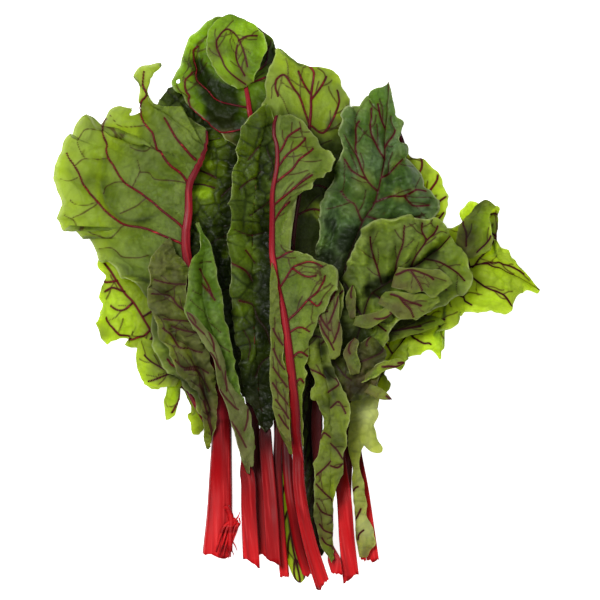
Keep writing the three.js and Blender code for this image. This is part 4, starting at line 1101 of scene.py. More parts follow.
def path_from_plan(points, grid, mid, fold_side):
    """Grid positions under points given in plan, on the half that isn't folded."""
    plan = grid[:, :, :2].copy()
    if fold_side == 0:
        plan[:, :mid] = FAR
    if fold_side == 1:
        plan[:, mid + 1:] = FAR
    path = []
    for x, y in points:
        gap = (plan[:, :, 0] - x) ** 2 + (plan[:, :, 1] - y) ** 2
        i, j = np.unravel_index(np.argmin(gap), gap.shape)
        path.append((i, j))
    return path


def spread_veins(leaf, grid, mid, sides):
    """Side veins at the leaf's own spacing, which lean to the tip."""
    spine = arc_lengths(grid[:, mid])
    draw = np.random.default_rng(leaf["number"] + 70)
    mains = []
    for side in sides:
        width = mid if side == 0 else grid.shape[1] - 1 - mid
        away = -1 if side == 0 else 1
        at = leaf["spacing"] * (0.5 if side == 0 else 0.9)
        while at < spine[-1] * 0.93:
            lean = draw.uniform(14, 24)
            path = []
            for v in np.linspace(0, 0.94, 7):
                row = np.interp(at + lean * v**1.4, spine, np.arange(len(spine)))
                path.append((row + draw.uniform(-1, 1) * v, mid + away * v * width))
            mains.append(path)
            at += leaf["spacing"] * draw.uniform(0.8, 1.25)
    return mains


def leaf_veins(leaf, grid, mid):
    fold_side = leaf["fold"][0] if "fold" in leaf else None
    sides = [side for side in (0, 1) if side != fold_side]
    if "veins" not in leaf:
        mains = spread_veins(leaf, grid, mid, sides)
        return mains, fork_veins(leaf, grid, mains)
    mains = [path_from_plan(points, grid, mid, fold_side) for points in leaf["veins"]]
    if "twigs" in leaf:
        return mains, [path_from_plan(points, grid, mid, fold_side) for points in leaf["twigs"]]
    return mains, fork_veins(leaf, grid, mains)


def fork_veins(leaf, grid, mains):
    """Thin veins that leave the side veins to either hand and bend back to their course."""
    draw = np.random.default_rng(leaf["number"] + 90)
    rows, columns = grid.shape[:2]
    twigs = []
    for path in mains:
        path = np.asarray(path, float)
        length = arc_lengths(grid_point(grid, path))[-1]
        hand = draw.choice((-1, 1))
        at = draw.uniform(0.18, 0.3)
        while at < 1.0:
            step = np.array([at, min(at + 0.1, 1.0)]) * (len(path) - 1)
            start, ahead = curve_through(path, np.minimum(step, len(path) - 1))
            course = ahead - start if at < 0.95 else path[-1] - path[-2]
            course = course / max(np.linalg.norm(course), 1e-6)
            turn = hand * draw.uniform(0.7, 1.1)
            reach = leaf["spacing"] / MESH_STEP * draw.uniform(0.7, 1.15)
            fork = [start]
            for w in (0.33, 0.66, 1.0):
                angle = turn * (1 - 0.55 * w)
                heading = np.array([
                    course[0] * math.cos(angle) - course[1] * math.sin(angle),
                    course[0] * math.sin(angle) + course[1] * math.cos(angle),
                ])
                fork.append(fork[-1] + heading * reach / 3)
            fork = np.array(fork)
            in_rows = (fork[:, 0] > 1) & (fork[:, 0] < rows - 2)
            in_columns = (fork[:, 1] > 1) & (fork[:, 1] < columns - 2)
            if (in_rows & in_columns).all():
                twigs.append(fork)
            hand = -hand
            at += 0.5 * leaf["spacing"] / max(length, 1) * draw.uniform(0.7, 1.3)
    return twigs


# Relief: cushions between the veins


def net_seeds(leaf, grid, mid):
    """Middles of the cushions, scattered over the blade at the leaf's cell size."""
    draw = np.random.default_rng(leaf["number"] + 40)
    along = arc_lengths(grid[:, mid])
    edges = (arc_lengths(grid[:, 0]), arc_lengths(grid[:, -1]))
    seeds = []
    cell = leaf["cell"]
    rows = np.maximum(along, np.maximum(edges[0], edges[1]))
    for s in np.arange(cell / 2, rows[-1], cell):
        i = int(np.interp(s, rows, np.arange(len(rows))))
        across = arc_lengths(grid[i])
        for t in np.arange(cell / 2, across[-1], cell):
            k = i + int(draw.uniform(-0.45, 0.45) * cell / MESH_STEP)
            j = np.interp(t + draw.uniform(-0.4, 0.4) * cell, across, np.arange(len(across)))
            seeds.append(grid[np.clip(k, 0, len(grid) - 1), int(j)])
    return np.array(seeds)


def shape_leaf(leaf, pile):
    """All of a leaf's surfaces, settled on the pile."""
    u, grid, mid = blade_grid(leaf)
    flat = grid.reshape(-1, 3)
    mains, twigs = leaf_veins(leaf, grid, mid)
    mains = [smooth_path(path, grid) for path in mains]
    twigs = [smooth_path(path, grid) for path in twigs]
    on_main = [grid_point(grid, denser(path)) for path in mains]
    if "on" not in leaf and not leaf["plain_rib"]:
        on_main.append(grid[:, mid])
    on_main = np.vstack(on_main)
    on_twig = np.vstack([grid_point(grid, denser(path)) for path in twigs] or [on_main])
    to_main = nearest_distance(flat, on_main)[:, 0]
    to_twig = nearest_distance(flat, on_twig)[:, 0]
    near = nearest_distance(flat, net_seeds(leaf, grid, mid), 2)
    crease = (near[:, 1] - near[:, 0]) / 2
    hollow = np.minimum(np.minimum(to_main / MAIN_HOLLOW, to_twig / TWIG_HOLLOW), 0.25 + crease / 2.2)
    cushion = 1 - (1 - np.clip(hollow, 0, 1)) ** 2
    facing = 1 if leaf["face_up"] else -1
    swell = waves_2d(flat[:, :2], SWELL_LENGTH, leaf["number"] + 5) * leaf["swell"]
    swell *= smooth(to_main / 12)
    pillow = smooth(to_main / 9)
    relief = facing * (leaf["pucker"] * cushion + leaf["pillow"] * pillow)
    relief = relief.reshape(grid.shape[:2])
    normals = grid_normals(grid)
    surface = grid + normals * relief[:, :, None]
    crumple = crumple_2d(flat[:, :2], CRUMPLE_LENGTH, leaf["number"] + 30)
    crumple = crumple * leaf["crumple"] * smooth(to_main / 7)
    line = np.full(len(flat), FAR)
    for height, width, points in leaf.get("folds", []):
        away = nearest_distance(flat[:, :2], dense_line(points))[:, 0]
        crumple += height * np.exp(-(away / width) ** 2)
        if height < 0:
            line = np.minimum(line, away / width)
    surface[:, :, 2] += (swell + crumple).reshape(relief.shape)
    surface[:, :, 2] = np.maximum(surface[:, :, 2], SHEET / 2)
    stalk = stalk_stations(leaf, surface, u, mid)
    shell = [surface.reshape(-1, 3) + [0, 0, LEAF_THICKNESS / 2]]
    shell.append(surface.reshape(-1, 3) - [0, 0, LEAF_THICKNESS / 2])
    if stalk:
        shell.append(stalk_surface(leaf, stalk).reshape(-1, 3))
    lift = settle(np.vstack(shell), pile)
    surface[:, :, 2] += sample_lift(lift, surface[:, :, 0], surface[:, :, 1])
    fields = {
        "vein": np.minimum(to_main, VEIN_REACH),
        "twig": np.minimum(to_twig, VEIN_REACH),
        "blush": np.exp(-to_main / 3.5),
        "crease": np.minimum(np.minimum(crease, to_twig), VEIN_REACH),
        "margin": margin_field(surface, mid),
        "foot": np.repeat(np.exp(-arc_lengths(grid[:, mid]) / 30), grid.shape[1]),
        "stain": np.full(len(flat), leaf["tone"][1]),
    }
    # Painted shade along the valleys of the folds; with the leaf's brightness, a random mottle and the
    # spots, this field paints light and shade
    bright = np.full(len(flat), leaf["tone"][0]) - 0.35 * np.exp(-(line / 0.7) ** 2)
    bright += 0.25 * waves_2d(flat[:, :2], MOTTLE_LENGTH, leaf["number"] + 60)
    for x, y, radius, change in leaf.get("spots", []):
        away = np.hypot(flat[:, 0] - x, flat[:, 1] - y)
        bright += change * np.exp(-(away / radius) ** 4)
    fields["bright"] = np.clip(bright, -1, 1)
    if stalk:
        stalk = stalk_stations(leaf, surface, u, mid, lift)
    return dict(surface=surface, mid=mid, fields=fields, mains=mains, stalk=stalk)


def margin_field(surface, mid):
    """0 at the midrib, 1 at either margin."""
    rows, columns = surface.shape[:2]
    at = np.arange(columns)
    away = np.where(at < mid, (mid - at) / max(mid, 1), (at - mid) / (columns - 1 - mid))
    return np.tile(away, (rows, 1)).ravel()


# Stalks: rings of points along the stalk and its midrib


def stalk_stations(leaf, surface, u, mid, lift=None):
    """Where the rings of a stalk and its midrib lie, which way they face, and their sizes."""
    if "stalk" not in leaf:
        return None
    base = SHEET / 2 + RIB_GAP
    facing = -1.0 if leaf["face_up"] else 1.0
    points = np.array(leaf["stalk"] + [leaf["rows"][0][2:4]], float)
    count = math.ceil(arc_lengths(points)[-1] / STALK_STEP) + 1
    route = curve_through(points, np.linspace(0, len(points) - 1, count))[:-1]
    along = np.linspace(0, 1, count)[:-1]
    width = mix(leaf["stalk_width"][0], leaf["stalk_width"][1], along)
    height = mix(leaf["stalk_height"][0], leaf["stalk_height"][1], along)
    z = base + height if leaf["face_up"] else np.full_like(along, -base)
    if lift is not None:
        z = z + sample_lift(lift, route[:, 0], route[:, 1])
    normals = grid_normals(surface)
    spine = surface[:, mid]
    length = along * arc_lengths(points)[-1]
    rise = smooth((length - length[-1] + 45) / 45)
    z = mix(z, spine[0, 2], rise)
    ridge = normals[:, mid] + 0
    for _ in range(12):
        ridge[1:-1] = (ridge[:-2] + ridge[1:-1] + ridge[2:]) / 3
    ease = smooth(arc_lengths(spine) / 30)[:, None]
    ridge = mix(np.array([0, 0, 1.0]), ridge, ease)
    rings = max(12, int(arc_lengths(spine)[-1] / STALK_STEP))
    pick = np.unique(np.linspace(0, len(u) - 2, rings).astype(int))
    at = np.vstack([np.column_stack([route, z]), spine[pick]])
    out = np.vstack([np.tile([0, 0, 1.0], (len(route), 1)), ridge[pick]]) * facing
    thinnest, run = (0.06, 15) if leaf["plain_rib"] else (leaf["rib_slim"], 40)
    slim = mix(1.0, thinnest, smooth(arc_lengths(spine)[pick] / run))
    widths = np.concatenate([width, rib_size(leaf, u[pick], leaf["stalk_width"]) * slim])
    heights = np.concatenate([height, rib_size(leaf, u[pick], leaf["stalk_height"]) * slim])
    sink = np.concatenate([np.zeros(len(route)), np.minimum(1, np.arange(len(pick)) / 12)])
    # The joint between stalk and midrib is eased over a few rings
    rows = np.arange(max(1, len(route) - JOINT_RINGS), min(len(at) - 1, len(route) + JOINT_RINGS))
    for _ in range(JOINT_RINGS):
        at[rows] = (at[rows - 1] + at[rows] + at[rows + 1]) / 3
        out[rows] = out[rows - 1] + out[rows] + out[rows + 1]
    out /= np.linalg.norm(out, axis=1, keepdims=True)
    return dict(at=at, out=out, width=widths, height=heights, sink=sink)


def stalk_surface(leaf, stalk):
    """Rings round the stalk: flat towards the blade, fluted and rounded away from it."""
    at, out = stalk["at"], stalk["out"]
    along = np.gradient(at, axis=0)
    along /= np.linalg.norm(along, axis=1, keepdims=True)
    side = np.cross(along, out)
    side /= np.linalg.norm(side, axis=1, keepdims=True)
    out = np.cross(side, along)
    turn = np.linspace(0, 2 * np.pi, STALK_SIDES, endpoint=False)
    across = 0.5 * np.sign(np.cos(turn)) * np.abs(np.cos(turn)) ** 0.85
    rise = np.abs(np.sin(turn))
    bulge = np.where(np.sin(turn) > 0, 0.35 + 0.65 * rise**0.75, 0.35 - 0.35 * rise**0.5)
    flutes = FLUTE_DEPTH * np.cos(across * 25 + leaf["number"]) * (np.sin(turn) > 0.2)
    channel = CHANNEL_DEPTH * (1 - (2 * across) ** 2) * (np.sin(turn) < -0.2)
    petiole = (1 - stalk["sink"])[:, None]
    level = bulge[None] + flutes[None] + channel[None] * petiole * (1 if leaf["face_up"] else 0)
    facing = -1 if leaf["face_up"] else 1
    deep = 0.3 if leaf["plain_rib"] else -0.25
    base = mix(SHEET / 2 + RIB_GAP, deep, stalk["sink"])[:, None]
    drop = base + level * stalk["height"][:, None]
    wide = across[None] * stalk["width"][:, None]
    slant = np.zeros(len(at))
    slant[0] = 1
    ragged = waves_1d(across, (0.9, 0.31), (0.9, 0.6), leaf["number"])
    shift = slant[:, None] * (-leaf["cut_slant"] * facing * wide[0] + ragged)[None]
    rings = at[:, None] + side[:, None] * wide[:, :, None] + out[:, None] * drop[:, :, None]
    return rings + along[:, None] * shift[:, :, None]


# Mesh making


def deselect_all():
    bpy.ops.object.select_all(action="DESELECT")


def grid_object(name, points):
    """A grid primitive whose vertices are moved to points, rows by columns, in mm."""
    rows, columns = points.shape[:2]
    deselect_all()
    bpy.ops.mesh.primitive_grid_add(x_subdivisions=columns - 1, y_subdivisions=rows - 1, size=1)
    piece = bpy.context.object
    piece.name = name
    piece.data.name = name
    piece.data.vertices.foreach_set("co", (pressed(points) * MM).reshape(-1))
    piece.data.update()
    return piece


def set_field(piece, name, values):
    layer = piece.data.attributes.new(name, "FLOAT", "POINT")
    layer.data.foreach_set("value", np.asarray(values, np.float32).ravel())


def set_uv(piece, u, v):
    """A UV map in metres along and across the piece."""
    loops = np.empty(len(piece.data.loops), int)
    piece.data.loops.foreach_get("vertex_index", loops)
    flat = np.column_stack([np.ravel(u)[loops], np.ravel(v)[loops]]) * MM
    piece.data.uv_layers[0].data.foreach_set("uv", flat.ravel())


def inside(points, polygon):
    """Which of the points lie in a polygon in plan."""
    hit = np.zeros(len(points), bool)
    x, y = points[:, 0], points[:, 1]
    for (ax, ay), (bx, by) in zip(polygon, polygon[1:] + polygon[:1]):
        cross = (ay > y) != (by > y)
        at = ax + (y - ay) / (by - ay if by != ay else 1e-9) * (bx - ax)
        hit ^= cross & (x < at)
    return hit


def cut_away(piece, gone):
    """Deletes vertices and evens out the edge that is left."""
    mesh = bmesh.new()
    mesh.from_mesh(piece.data)
    mesh.verts.ensure_lookup_table()
    bmesh.ops.delete(mesh, geom=[mesh.verts[k] for k in np.flatnonzero(gone)], context="VERTS")
    edge = [v for v in mesh.verts if v.is_boundary]
    for _ in range(3):
        places = {}
        for v in edge:
            near = [e.other_vert(v).co for e in v.link_edges if e.is_boundary]
            if len(near) == 2:
                places[v] = v.co * 0.5 + (near[0] + near[1]) * 0.25
        for v, place in places.items():
            v.co = place
    mesh.to_mesh(piece.data)
    mesh.free()


def merge_doubles(piece, distance):
    mesh = bmesh.new()
    mesh.from_mesh(piece.data)
    bmesh.ops.remove_doubles(mesh, verts=mesh.verts, dist=distance * MM)
    mesh.to_mesh(piece.data)
    mesh.free()


def apply_modifier(piece, kind, **settings):
    modifier = piece.modifiers.new(kind.title(), kind)
    for key, value in settings.items():
        setattr(modifier, key, value)
    deselect_all()
    bpy.context.view_layer.objects.active = piece
    bpy.ops.object.modifier_apply(modifier=modifier.name)


def shade_smooth(piece):
    piece.data.polygons.foreach_set("use_smooth", np.ones(len(piece.data.polygons), bool))


def finish_piece(piece, node, material):
    """Gives a piece its finish, attaches it to the root body, and hides the CAD part that it stands in
    for.
    """
    piece.data.materials.clear()
    piece.data.materials.append(material)
    shade_smooth(piece)
    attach(piece, "root")
    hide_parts(node)


def make_sheet(leaf, shape):
    """A blade's surface as a thin sheet, with its holes cut and its fields set."""
    surface = shape["surface"] - SHIFT
    piece = grid_object(f"{leaf['name']}_leaf", surface)
    rows, columns = surface.shape[:2]
    along = np.tile(arc_lengths(surface[:, shape["mid"]])[:, None], (1, columns))
    steps = np.linalg.norm(np.diff(surface, axis=1), axis=2)
    across = np.concatenate([np.zeros((rows, 1)), np.cumsum(steps, axis=1)], axis=1)
    across -= across[:, shape["mid"]][:, None]
    set_uv(piece, along + 90 * leaf["number"], across)
    for name, values in shape["fields"].items():
        set_field(piece, name, values)
    gone = np.zeros(rows * columns, bool)
    for polygon in leaf.get("holes", []):
        gone |= inside(surface.reshape(-1, 3) + SHIFT, polygon)
    if gone.any():
        cut_away(piece, gone)
    merge_doubles(piece, MERGE_DISTANCE)
    apply_modifier(piece, "SOLIDIFY", thickness=LEAF_THICKNESS * MM, offset=0)
    return piece


def join(pieces):
    """One piece from several, which keeps the first one's name."""
    deselect_all()
    for piece in pieces:
        piece.select_set(True)
    bpy.context.view_layer.objects.active = pieces[0]
    bpy.ops.object.join()
    return pieces[0]


def make_blade(leaf, shape, folds):
    """A leaf's blade: its sheet with the folds and lobes that lie on it."""
    pieces = [make_sheet(leaf, shape)] + [make_sheet(*fold) for fold in folds]
    piece = join(pieces) if folds else pieces[0]
    finish_piece(piece, f"{leaf['name']}_blade", LEAF_FINISH[leaf["finish"]])


def ring_tube(at, out, radii):
    """Rings round a path, as a thin tube has them."""
    along = np.gradient(at, axis=0)
    along /= np.maximum(np.linalg.norm(along, axis=1, keepdims=True), 1e-9)
    side = np.cross(along, out)
    side /= np.maximum(np.linalg.norm(side, axis=1, keepdims=True), 1e-9)
    turn = np.linspace(0, 2 * np.pi, TUBE_SIDES, endpoint=False)
    ring = side[:, None] * np.cos(turn)[None, :, None] + out[:, None] * np.sin(turn)[None, :, None]
    return at[:, None] + ring * radii[:, None, None]


def tubes_object(name, tubes, along, cut):
    """One mesh of closed tubes, each given as its rings."""
    points, faces = [], []
    total = 0
    for rings in tubes:
        count = len(rings)
        points.append(rings.reshape(-1, 3))
        for i in range(count - 1):
            for k in range(TUBE_SIDES):
                a = total + i * TUBE_SIDES + k
                b = total + i * TUBE_SIDES + (k + 1) % TUBE_SIDES
                faces.append((a, b, b + TUBE_SIDES, a + TUBE_SIDES))
        faces.append(tuple(total + k for k in reversed(range(TUBE_SIDES))))
        faces.append(tuple(total + (count - 1) * TUBE_SIDES + k for k in range(TUBE_SIDES)))
        total += count * TUBE_SIDES
    points = np.vstack(points)
    mesh = bpy.data.meshes.new(name)
    mesh.from_pydata((pressed(points) * MM).tolist(), [], faces)
    mesh.uv_layers.new(name="UVMap")
    piece = bpy.data.objects.new(name, mesh)
    bpy.context.scene.collection.objects.link(piece)
    set_field(piece, "along", np.full(len(points), along))
    set_field(piece, "cut", np.full(len(points), cut))
    set_field(piece, "flank_shade_and_sheen", np.zeros(len(points)))
    set_field(piece, "shade", hollow_shade(points + SHIFT))
    set_uv(piece, points[:, 0], points[:, 1])
    return piece


def make_veins(leaf, shape):
    """The raised side veins of a leaf that lies face down."""
    surface = shape["surface"] - SHIFT
    normals = grid_normals(surface)
    tubes = []
    for path in shape["mains"]:
        radii = mix(leaf["vein_radius"], VEIN_TIP, np.sqrt(np.linspace(0, 1, len(path))))
        radii[-1] *= 0.3
        out = grid_point(normals, path)
        at = grid_point(surface, path) + out * (LEAF_THICKNESS / 2 + radii * 0.2)[:, None]
        tubes.append(ring_tube(at, out, radii))
    return tubes_object(f"{leaf['name']}_veins", tubes, 0.85, 0.0)


def height_over(gaps, tops):
    """The height of the stalk by a point, given the gaps to it, which sinks past the edge."""
    nearest = gaps.min()
    return tops[gaps < max(4, nearest + 2), 2].max() - max(0, nearest - 4)


def make_fibres(leaf, rings):
    """Fibres peeled from a torn stalk end, laid over it and past its cut."""
    tops = rings.reshape(-1, 3)
    strips, strings = [], []
    for radius, points in leaf["fibres"]:
        path = dense_line(points, 1.2)[:, :2] - SHIFT[:2]
        gaps = np.linalg.norm(path[:, None] - tops[None, :, :2], axis=2)
        heights = np.array([height_over(gap, tops) for gap in gaps])
        for _ in range(4):
            heights[1:-1] = (heights[:-2] + heights[1:-1] + heights[2:]) / 3
        at = np.column_stack([path, heights + radius * 0.4])
        radii = radius * mix(1.0, 0.35 if radius < 2 else 0.8, np.linspace(0, 1, len(at)))
        kind = strips if radius > 2 else strings
        kind.append(ring_tube(at, np.tile([0, 0, 1.0], (len(at), 1)), radii))
    strips = tubes_object(f"{leaf['name']}_strips", strips, 0.16, 0.0)
    strings = tubes_object(f"{leaf['name']}_fibres", strings, 0.1, 0.42)
    return join([strips, strings])


def make_stalk(leaf, shape):
    """A stalk with its midrib, its raised side veins and its torn fibres."""
    stalk = dict(shape["stalk"])
    stalk["at"] = stalk["at"] - SHIFT
    rings = stalk_surface(leaf, stalk)
    skin = rings
    count = len(rings)
    columns = STALK_SIDES + 1
    heart = rings[0].mean(axis=0)
    inner = heart + (rings[0] - heart) * 0.72
    direction = rings[2].mean(axis=0) - heart
    direction /= np.linalg.norm(direction)
    middle = np.tile(heart + direction * 0.9, (STALK_SIDES, 1))
    cap = [middle, inner + direction * 0.7, heart + (rings[0] - heart) * 0.93]
    tip = np.tile(rings[-1].mean(axis=0), (STALK_SIDES, 1))
    rings = np.concatenate([np.array(cap), rings, tip[None]])
    rings = np.concatenate([rings, rings[:, :1]], axis=1)
    piece = grid_object(f"{leaf['name']}_stem", rings)
    lengths = arc_lengths(np.vstack([stalk["at"][:1]] * len(cap) + [stalk["at"], tip[:1]]))
    along = np.tile(lengths[:, None], (1, columns))
    turn = np.tile(np.linspace(0, 1, columns)[None], (len(lengths), 1))
    widths = np.concatenate([stalk["width"][:1]] * len(cap) + [stalk["width"], stalk["width"][-1:]])
    set_uv(piece, along, turn * widths[:, None] * 2.4)
    petiole = (stalk["sink"] == 0).sum()
    share = np.concatenate([np.zeros(len(cap)), np.linspace(0, 1, count), [1]])
    base = (len(cap) + petiole) / len(lengths)
    below = mix(leaf["stem_tone"], LEAF["rib_tone"], share / base)
    above = mix(leaf["rib_tone"], 0.88, (share - base) / (1 - base))
    set_field(piece, "along", np.tile(np.where(share < base, below, above)[:, None], (1, columns)))
    cut = np.zeros((len(lengths), columns))
    cut[:len(cap)] = 1
    set_field(piece, "cut", cut)
    flank_shade_and_sheen = np.abs(np.cos(np.linspace(0, 2 * np.pi, columns))) ** 6
    set_field(piece, "flank_shade_and_sheen", np.tile(flank_shade_and_sheen[None], (len(lengths), 1)))
    set_field(piece, "shade", hollow_shade(rings.reshape(-1, 3) + SHIFT))
    merge_doubles(piece, MERGE_DISTANCE)
    mesh = bmesh.new()
    mesh.from_mesh(piece.data)
    bmesh.ops.recalc_face_normals(mesh, faces=mesh.faces)
    mesh.to_mesh(piece.data)
    mesh.free()
    parts = [piece]
    if not leaf["face_up"]:
        parts.append(make_veins(leaf, shape))
    if "fibres" in leaf:
        parts.append(make_fibres(leaf, skin))
    if len(parts) > 1:
        join(parts)
    finish_piece(piece, f"{leaf['name']}_stalk", STALK_FINISH)


# Materials


def colour(value):
    """An sRGB hex colour as linear RGBA."""
    parts = [int(value[k:k + 2], 16) / 255 for k in (1, 3, 5)]
    linear = [c / 12.92 if c <= 0.04045 else ((c + 0.055) / 1.055) ** 2.4 for c in parts]
    return (*linear, 1.0)


# Kinds of node: type, the sockets that its values go to in turn, its output, its settings
BLEND = ("ShaderNodeMix", (0, 6, 7), 2, {"data_type": "RGBA"})
RAMP_SOCKETS = ("Value", "From Min", "From Max", "To Min", "To Max")
LEVEL = ("ShaderNodeMapRange", RAMP_SOCKETS, 0, {"interpolation_type": "SMOOTHSTEP"})
TIMES = ("ShaderNodeMath", (0, 1), 0, {"operation": "MULTIPLY"})
LARGER = ("ShaderNodeMath", (0, 1), 0, {"operation": "MAXIMUM"})
FIELD = ("ShaderNodeAttribute", (), "Fac", {})
SURFACE_MAP = ("ShaderNodeUVMap", (), "UV", {})
STRETCH = ("ShaderNodeMapping", ("Vector", "Scale"), 0, {})
NOISE = ("ShaderNodeTexNoise", ("Vector", "Scale", "Detail", "Roughness"), "Fac", {})
CELLS = ("ShaderNodeTexVoronoi", ("Vector", "Scale", "Randomness"), "Distance", {})
RED_OF = ("ShaderNodeSeparateColor", (0,), 0, {})
BUMP = ("ShaderNodeBump", ("Height", "Strength", "Distance", "Normal"), 0, {})
SKIN = ("ShaderNodeBsdfPrincipled", ("Base Color",), 0, {})
THROUGH = ("ShaderNodeBsdfTranslucent", ("Color", "Normal"), 0, {})
BOTH = ("ShaderNodeMixShader", (0, 1, 2), 0, {})
OUTPUT = ("ShaderNodeOutputMaterial", ("Surface",), None, {})


def add_node(tree, kind, *values, inputs=None, **settings):
    """Adds a node, sets its inputs or links them from sockets, and gives its output."""
    type_name, sockets, output, fixed = kind
    node = tree.nodes.new(type_name)
    for key, value in {**fixed, **settings}.items():
        setattr(node, key, value)
    for key, value in [*zip(sockets, values), *(inputs or {}).items()]:
        if isinstance(value, bpy.types.NodeSocket):
            tree.links.new(value, node.inputs[key])
        else:
            node.inputs[key].default_value = value
    return None if output is None else node.outputs[output]


def new_material(name, fields):
    """A material, a function that adds nodes to it, its UV map and its named fields."""
    material = bpy.data.materials.new(name)
    material.use_nodes = True
    material.node_tree.nodes.clear()
    node = functools.partial(add_node, material.node_tree)
    return material, node, node(SURFACE_MAP), {key: node(FIELD, attribute_name=key) for key in fields}


# Fresh chard leaf: a waxy cuticle over wet tissue, so a soft satin shine; thin enough
# that light from behind comes through yellow-green.
def leaf_material(name, body, pale, rim, glow, net, lit, gloss, glow_share, net_depth, net_and_crease_shade):
    fields = ("vein", "twig", "crease", "margin", "foot", "blush", "bright", "stain", "shade")
    material, node, place, field = new_material(name, fields)
    broad = node(NOISE, place, 38.0, 3.0)
    grain = node(NOISE, place, 420.0, 2.0)
    mottle = node(NOISE, place, 130.0, 5.0, 0.65)
    lines = node(LEVEL, node(CELLS, place, 330.0, feature="DISTANCE_TO_EDGE"), 0.0, 0.1, 1.0, 0.0)
    vein = node(LEVEL, field["vein"], 0.4, 1.15, 1.0, 0.0)
    twig = node(LEVEL, field["twig"], 0.3, 0.8, 0.7, 0.0)
    crease = node(LEVEL, field["crease"], 0.2, 1.2, 1.0, 0.0)
    # Green of the blade, mottled, with its fine net
    tone = node(BLEND, node(LEVEL, broad, 0.35, 0.68), colour(body), colour(pale))
    tone = node(BLEND, node(LEVEL, grain, 0.3, 0.75, 0.0, 0.2), tone, colour(net))
    tone = node(BLEND, node(LEVEL, mottle, 0.5, 0.3, 0.0, 0.65), tone, colour(net))
    tone = node(BLEND, node(LEVEL, mottle, 0.52, 0.7, 0.0, 0.6), tone, colour(pale))
    tone = node(BLEND, node(LEVEL, field["margin"], 0.75, 1.0, 0.0, 0.5), tone, colour(rim))
    tone = node(BLEND, node(TIMES, lines, 0.2), tone, colour(net))
    # Net colour in the creases between cushions: the fine veins there, and painted shade in the creases
    tone = node(BLEND, node(TIMES, crease, net_and_crease_shade), tone, colour(net))
    # Brown bruises at the foot, red by the veins, and painted light where light comes through
    bruise = node(TIMES, node(LEVEL, field["foot"], 0.12, 0.7), node(LEVEL, broad, 0.4, 0.6))
    tone = node(BLEND, node(TIMES, bruise, 0.7), tone, colour("#5d4034"))
    tone = node(BLEND, node(LEVEL, field["blush"], 0.4, 1.0, 0.0, 0.4), tone, colour("#54281c"))
    tone = node(BLEND, node(LEVEL, field["bright"], 0.05, 1.0), tone, colour(lit))
    tone = node(BLEND, twig, tone, colour("#461414"))
    tone = node(BLEND, vein, tone, colour("#4e0a10"))
    # Pale edge, stains, painted shade deep in the pile and where the leaf is dimmed, and a few brown
    # specks
    edge = node(LEVEL, field["margin"], 0.955, 0.995, 0.0, 0.6)
    tone = node(BLEND, edge, tone, colour("#b9c08c"))
    stain = node(TIMES, field["stain"], node(LEVEL, broad, 0.25, 0.6, 0.45, 1.0))
    tone = node(BLEND, stain, tone, colour("#5e4638"))
    dark = node(TIMES, node(LEVEL, field["bright"], -0.05, -1.0), 0.86)
    dark = node(LARGER, dark, node(TIMES, field["shade"], 0.82))
    tone = node(BLEND, dark, tone, colour("#0c1502"))
    spots = node(CELLS, place, 62.0, 1.0)
    rare = node(LEVEL, node(RED_OF, spots.node.outputs["Color"]), 0.72, 0.78)
    speck = node(TIMES, node(LEVEL, spots, 0.06, 0.11, 1.0, 0.0), rare)
    tone = node(BLEND, node(TIMES, speck, 0.75), tone, colour("#33200f"))
    net_bump = node(BUMP, node(TIMES, lines, -1.0), net_depth, 0.0004)
    relief = node(BUMP, grain, 0.2, 0.0003, net_bump)
    roughness = node(LEVEL, broad, 0.3, 0.7, gloss, gloss + 0.14)
    shine = {"Normal": relief, "Roughness": roughness, "IOR": 1.36, "Specular IOR Level": 0.32}
    skin = node(SKIN, tone, inputs=shine)
    # The light that comes through the blade
    light = node(BLEND, node(LEVEL, broad, 0.35, 0.68, 0.0, 0.35), colour(glow), colour(rim))
    light = node(BLEND, node(TIMES, crease, net_and_crease_shade * 0.5), light, colour(net))
    light = node(BLEND, node(TIMES, twig, 0.9), light, colour("#5a1a10"))
    light = node(BLEND, vein, light, colour("#4d0a0c"))
    light = node(BLEND, stain, light, colour("#5a3a20"))
    # Painted shade dims the light that comes through as well
    light = node(BLEND, dark, light, colour("#060a00"))
    node(OUTPUT, node(BOTH, glow_share, skin, node(THROUGH, light, relief)))
    return material


